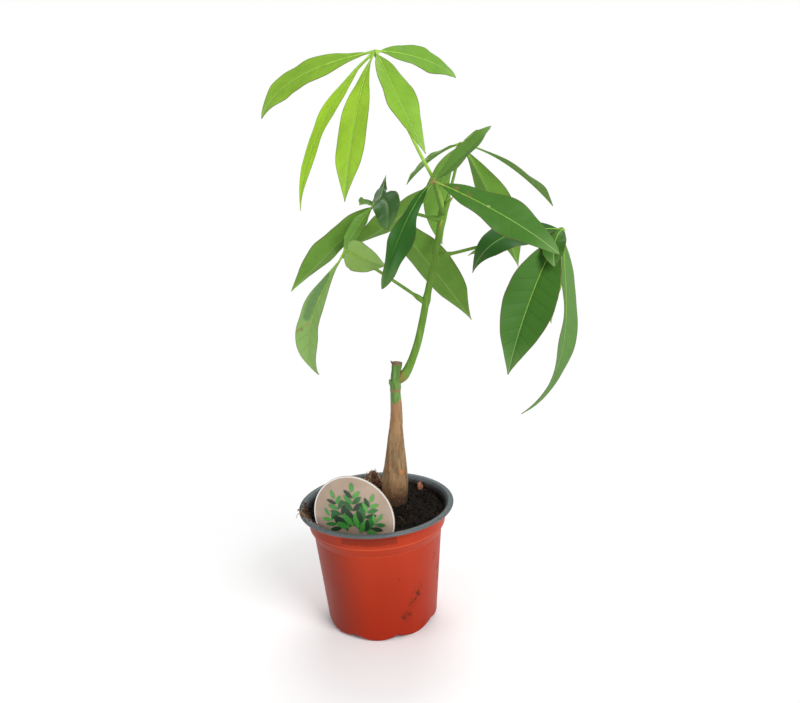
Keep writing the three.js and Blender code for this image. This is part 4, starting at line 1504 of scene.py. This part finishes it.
def shape_card():
    deselect()
    bpy.ops.mesh.primitive_cylinder_add(vertices=128, radius=LABEL_RADIUS * mm, depth=LABEL_THICKNESS * mm)
    disc = bpy.context.object
    edit(disc)
    cut_level(-LABEL_CUT * mm)
    close_edit()
    card = joined("label_card", [disc, cut_stake()])
    bevel = card.modifiers.new("soft_edge", "BEVEL")
    bevel.width = 0.12 * mm
    bevel.segments = 2
    bevel.limit_method = "ANGLE"
    apply_modifiers(card)
    coat(card, CARD)
    card.data.transform(LABEL_FRAME)
    smooth(card, 30)
    return card


hand_in(shape_card(), "label_card", "plant_label")

# %% [markdown]
# The print is a design of this script's own, an even fan of sprigs with paired leaves. Its
# leaves are thin shapes laid on the card, so they stay crisp from close by, and each lies a
# hair above the one before, so no two share a plane. The design is drawn in millimetres from
# the disc's middle and then laid on the card as a whole. Each of `SPRIGS` has the direction in
# which it starts, how far it turns at each pair of leaves, how many pairs it has and how long
# its lowest leaves are.

# %% Print the design
PRINT_LIFT = LABEL_THICKNESS / 2 + 0.02
PRINT_DEPTH = 0.05
PRINT_LAYER = 0.012
PRINT_MARGIN = 1.4
BORDER_WIDTH = 0.8
SPRIG_ROOT = (0, -13)
SPRIG_SPREAD = 48
SPRIGS = [(164, -9, 5, 11), (126, -3, 6, 12), (90, 0, 6, 13), (54, 3, 6, 12), (16, 9, 5, 11)]


def thicken():
    """Gives the selected flat faces of the open mesh the thickness of the print."""
    bpy.ops.mesh.extrude_region_move(TRANSFORM_OT_translate={"value": (0, 0, PRINT_DEPTH)})
    face_outwards()


def print_leaf(x, y, heading, size, layer, material):
    """A pointed leaf shape lying on the card."""
    deselect()
    bpy.ops.mesh.primitive_circle_add(vertices=20, radius=1, fill_type="NGON")
    made = bpy.context.object
    for vertex in made.data.vertices:
        along, across = vertex.co.x, vertex.co.y
        vertex.co = ((along + 1) * size / 2, across * (1 - along * along) ** 0.35 * size * 0.19, 0)
    edit(made)
    thicken()
    close_edit()
    turned = Matrix.Rotation(math.radians(heading), 4, "Z")
    made.data.transform(Matrix.Translation((x, y, PRINT_LIFT + layer * PRINT_LAYER)) @ turned)
    coat(made, material)
    return made


def inside_card(leaf):
    """True where the whole shape lies within the card's border."""
    points = [vertex.co for vertex in leaf.data.vertices]
    return all(
        point.xy.length < LABEL_RADIUS - PRINT_MARGIN and point.y > -LABEL_CUT + 1 for point in points
    )


def print_sprigs():
    shapes = []
    for heading, turn, pairs, length in SPRIGS:
        x, y = SPRIG_ROOT
        for pair in range(pairs):
            size = length * (1 - 0.07 * pair)
            for side in (-1, 1):
                green = PRINT_GREENS[(pair + (side > 0)) % 3]
                shapes.append(print_leaf(x, y, heading + side * SPRIG_SPREAD, size, len(shapes), green))
            x += math.cos(math.radians(heading)) * size * 0.5
            y += math.sin(math.radians(heading)) * size * 0.5
            heading += turn
        shapes.append(print_leaf(x, y, heading, length * 0.6, len(shapes), PRINT_GREENS[2]))
    kept = [shape for shape in shapes if inside_card(shape)]
    for shape in shapes:
        if shape not in kept:
            bpy.data.objects.remove(shape)
    return kept


def print_border():
    """A thin pale ring just inside the card's edge, cut level like the card."""
    deselect()
    bpy.ops.mesh.primitive_circle_add(vertices=128, radius=LABEL_RADIUS - 0.2, fill_type="NGON")
    ring = bpy.context.object
    edit(ring)
    bpy.ops.mesh.select_mode(type="FACE")
    bpy.ops.mesh.select_all(action="SELECT")
    bpy.ops.mesh.inset(thickness=BORDER_WIDTH)
    bpy.ops.mesh.delete(type="FACE")
    bpy.ops.mesh.select_all(action="SELECT")
    thicken()
    cut_level(-LABEL_CUT + 0.3)
    close_edit()
    ring.data.transform(Matrix.Translation((0, 0, PRINT_LIFT)))
    coat(ring, BORDER)
    return ring


design = joined("label_print", print_sprigs() + [print_border()])
design.data.transform(LABEL_FRAME @ Matrix.Scale(mm, 4))
hand_in(design, "label_card")

# %% [markdown]
# ## Loose matter
# Fine things finish the surface: a reddish bark chip and pale root fibres on the soil, and a
# smear of soil with a torn root where something was dragged over the rim on the left.


# %% Make the finishes of chips and fibres
def plain_finish(name, first, second, size, roughness):
    """Two colours mixed by noise, with a light relief, for small loose things."""
    finish = Finish(name, {"Specular IOR Level": 0.3})
    grain = finish.cloud(finish.place(), size, 4)
    body = finish.mix(finish.step(grain, 0.35, 0.65), first, second)
    return finish.dress(body, roughness + grain * 0.1, grain, 0.2)


CHIP = plain_finish("bark_chip", (0.16, 0.05, 0.028), (0.38, 0.14, 0.075), 2, 0.75)
EARTH = plain_finish("dry_earth", (0.045, 0.025, 0.014), (0.18, 0.095, 0.05), 1.5, 0.85)
ROOT_PALE = plain_finish("root_pale", (0.42, 0.33, 0.2), (0.72, 0.64, 0.48), 1, 0.7)
ROOT_BROWN = plain_finish("root_brown", (0.10, 0.05, 0.025), (0.24, 0.13, 0.06), 1, 0.75)
print("loose finishes:", CHIP.name, EARTH.name, ROOT_PALE.name, ROOT_BROWN.name)

# %% [markdown]
# The chip and the smear are lumps, scattered as the crumbs were. The roots are thin limbs. Each
# one on the soil wanders from its start by seeded turns and follows the ground's own formula,
# and the torn ones on the rim keep to listed routes.

# %% Lay out the loose matter
CHIP_PLACE = (35, 36)
CHIP_SIZE = 4.6
BROWN_FIBRES = 16
PALE_FIBRES = 9
WISP_BENDS = 5
SMEAR_LUMPS = 170
SMEAR_ANGLE = 196
SMEAR_RADIUS = 55.5
TORN_ROOT = [(-52, -24, 93), (-55, -19, 95), (-57.5, -14, 95.2), (-59.5, -10, 94.5), (-60.6, -7, 92)]
TORN_FIBRE = [(-56, -17, 94.6), (-58.5, -15, 93.6), (-60.4, -14, 91.5), (-61, -12.5, 88.5)]


def chip():
    kinds = [lump("chip", 0.25)]
    point = Vector((*CHIP_PLACE, soil_height(*CHIP_PLACE) + 1.6))
    return scatter("bark_chip", kinds, [point], [CHIP_SIZE], CHIP)


def wisp(start, length, rise, radius, material):
    """A thin root that wanders over the ground from a point."""
    heading = dice.uniform(0, 2 * math.pi)
    point = Vector(start)
    route = [tuple(point)]
    for _ in range(WISP_BENDS):
        heading += dice.uniform(-0.8, 0.8)
        point = point + Vector((math.cos(heading), math.sin(heading), 0)) * (length / WISP_BENDS)
        if point.xy.length < SOIL_RADIUS - 1:
            point.z = soil_height(point.x, point.y) + rise * dice.random() + radius
        route.append(tuple(point))
    radii = [(0, radius), (0.7, radius * 0.8), (1, radius * 0.3)]
    return limb("fibre", route, radii, material, sides=6, steps=14)


def wisps():
    made = []
    for _ in range(BROWN_FIBRES):
        made.append(wisp(on_ground(), dice.uniform(5, 12), 0.8, 0.16, ROOT_BROWN))
    for _ in range(PALE_FIBRES):
        x, y = MOUND.x + dice.uniform(-7, 5), MOUND.y + dice.uniform(-5, 5)
        start = (x, y, soil_height(x, y) + 0.5)
        made.append(wisp(start, dice.uniform(6, 11), 3, 0.22, ROOT_PALE))
    return made


def rim_smear():
    """Soil on the lip at the left, some of it slipping down inside."""
    kinds = [lump(f"smear_{kind}") for kind in range(3)]
    places, sizes = [], []
    for _ in range(SMEAR_LUMPS):
        angle = math.radians(dice.gauss(SMEAR_ANGLE, 9))
        reach = dice.gauss(SMEAR_RADIUS, 1.8)
        drop = max(0, 56 - reach) * 0.9
        places.append(Vector((reach * math.cos(angle), reach * math.sin(angle), POT_TOP - 0.1 - drop)))
        sizes.append(dice.uniform(0.3, 1.1))
    return scatter("rim_soil", kinds, places, sizes, EARTH)


hand_in(chip(), "potting_soil")
torn_root = limb("torn_root", TORN_ROOT, [(0, 1), (0.5, 0.8), (1, 0.3)], ROOT_BROWN, sides=8, steps=20)
torn_fibre = limb("torn_fibre", TORN_FIBRE, [(0, 0.5), (1, 0.2)], ROOT_PALE, sides=6, steps=14)
fibres = joined("root_fibres", [torn_root, torn_fibre, *wisps()])
smooth(fibres, 60)
hand_in(fibres, "potting_soil")
hand_in(rim_smear(), "potting_soil")
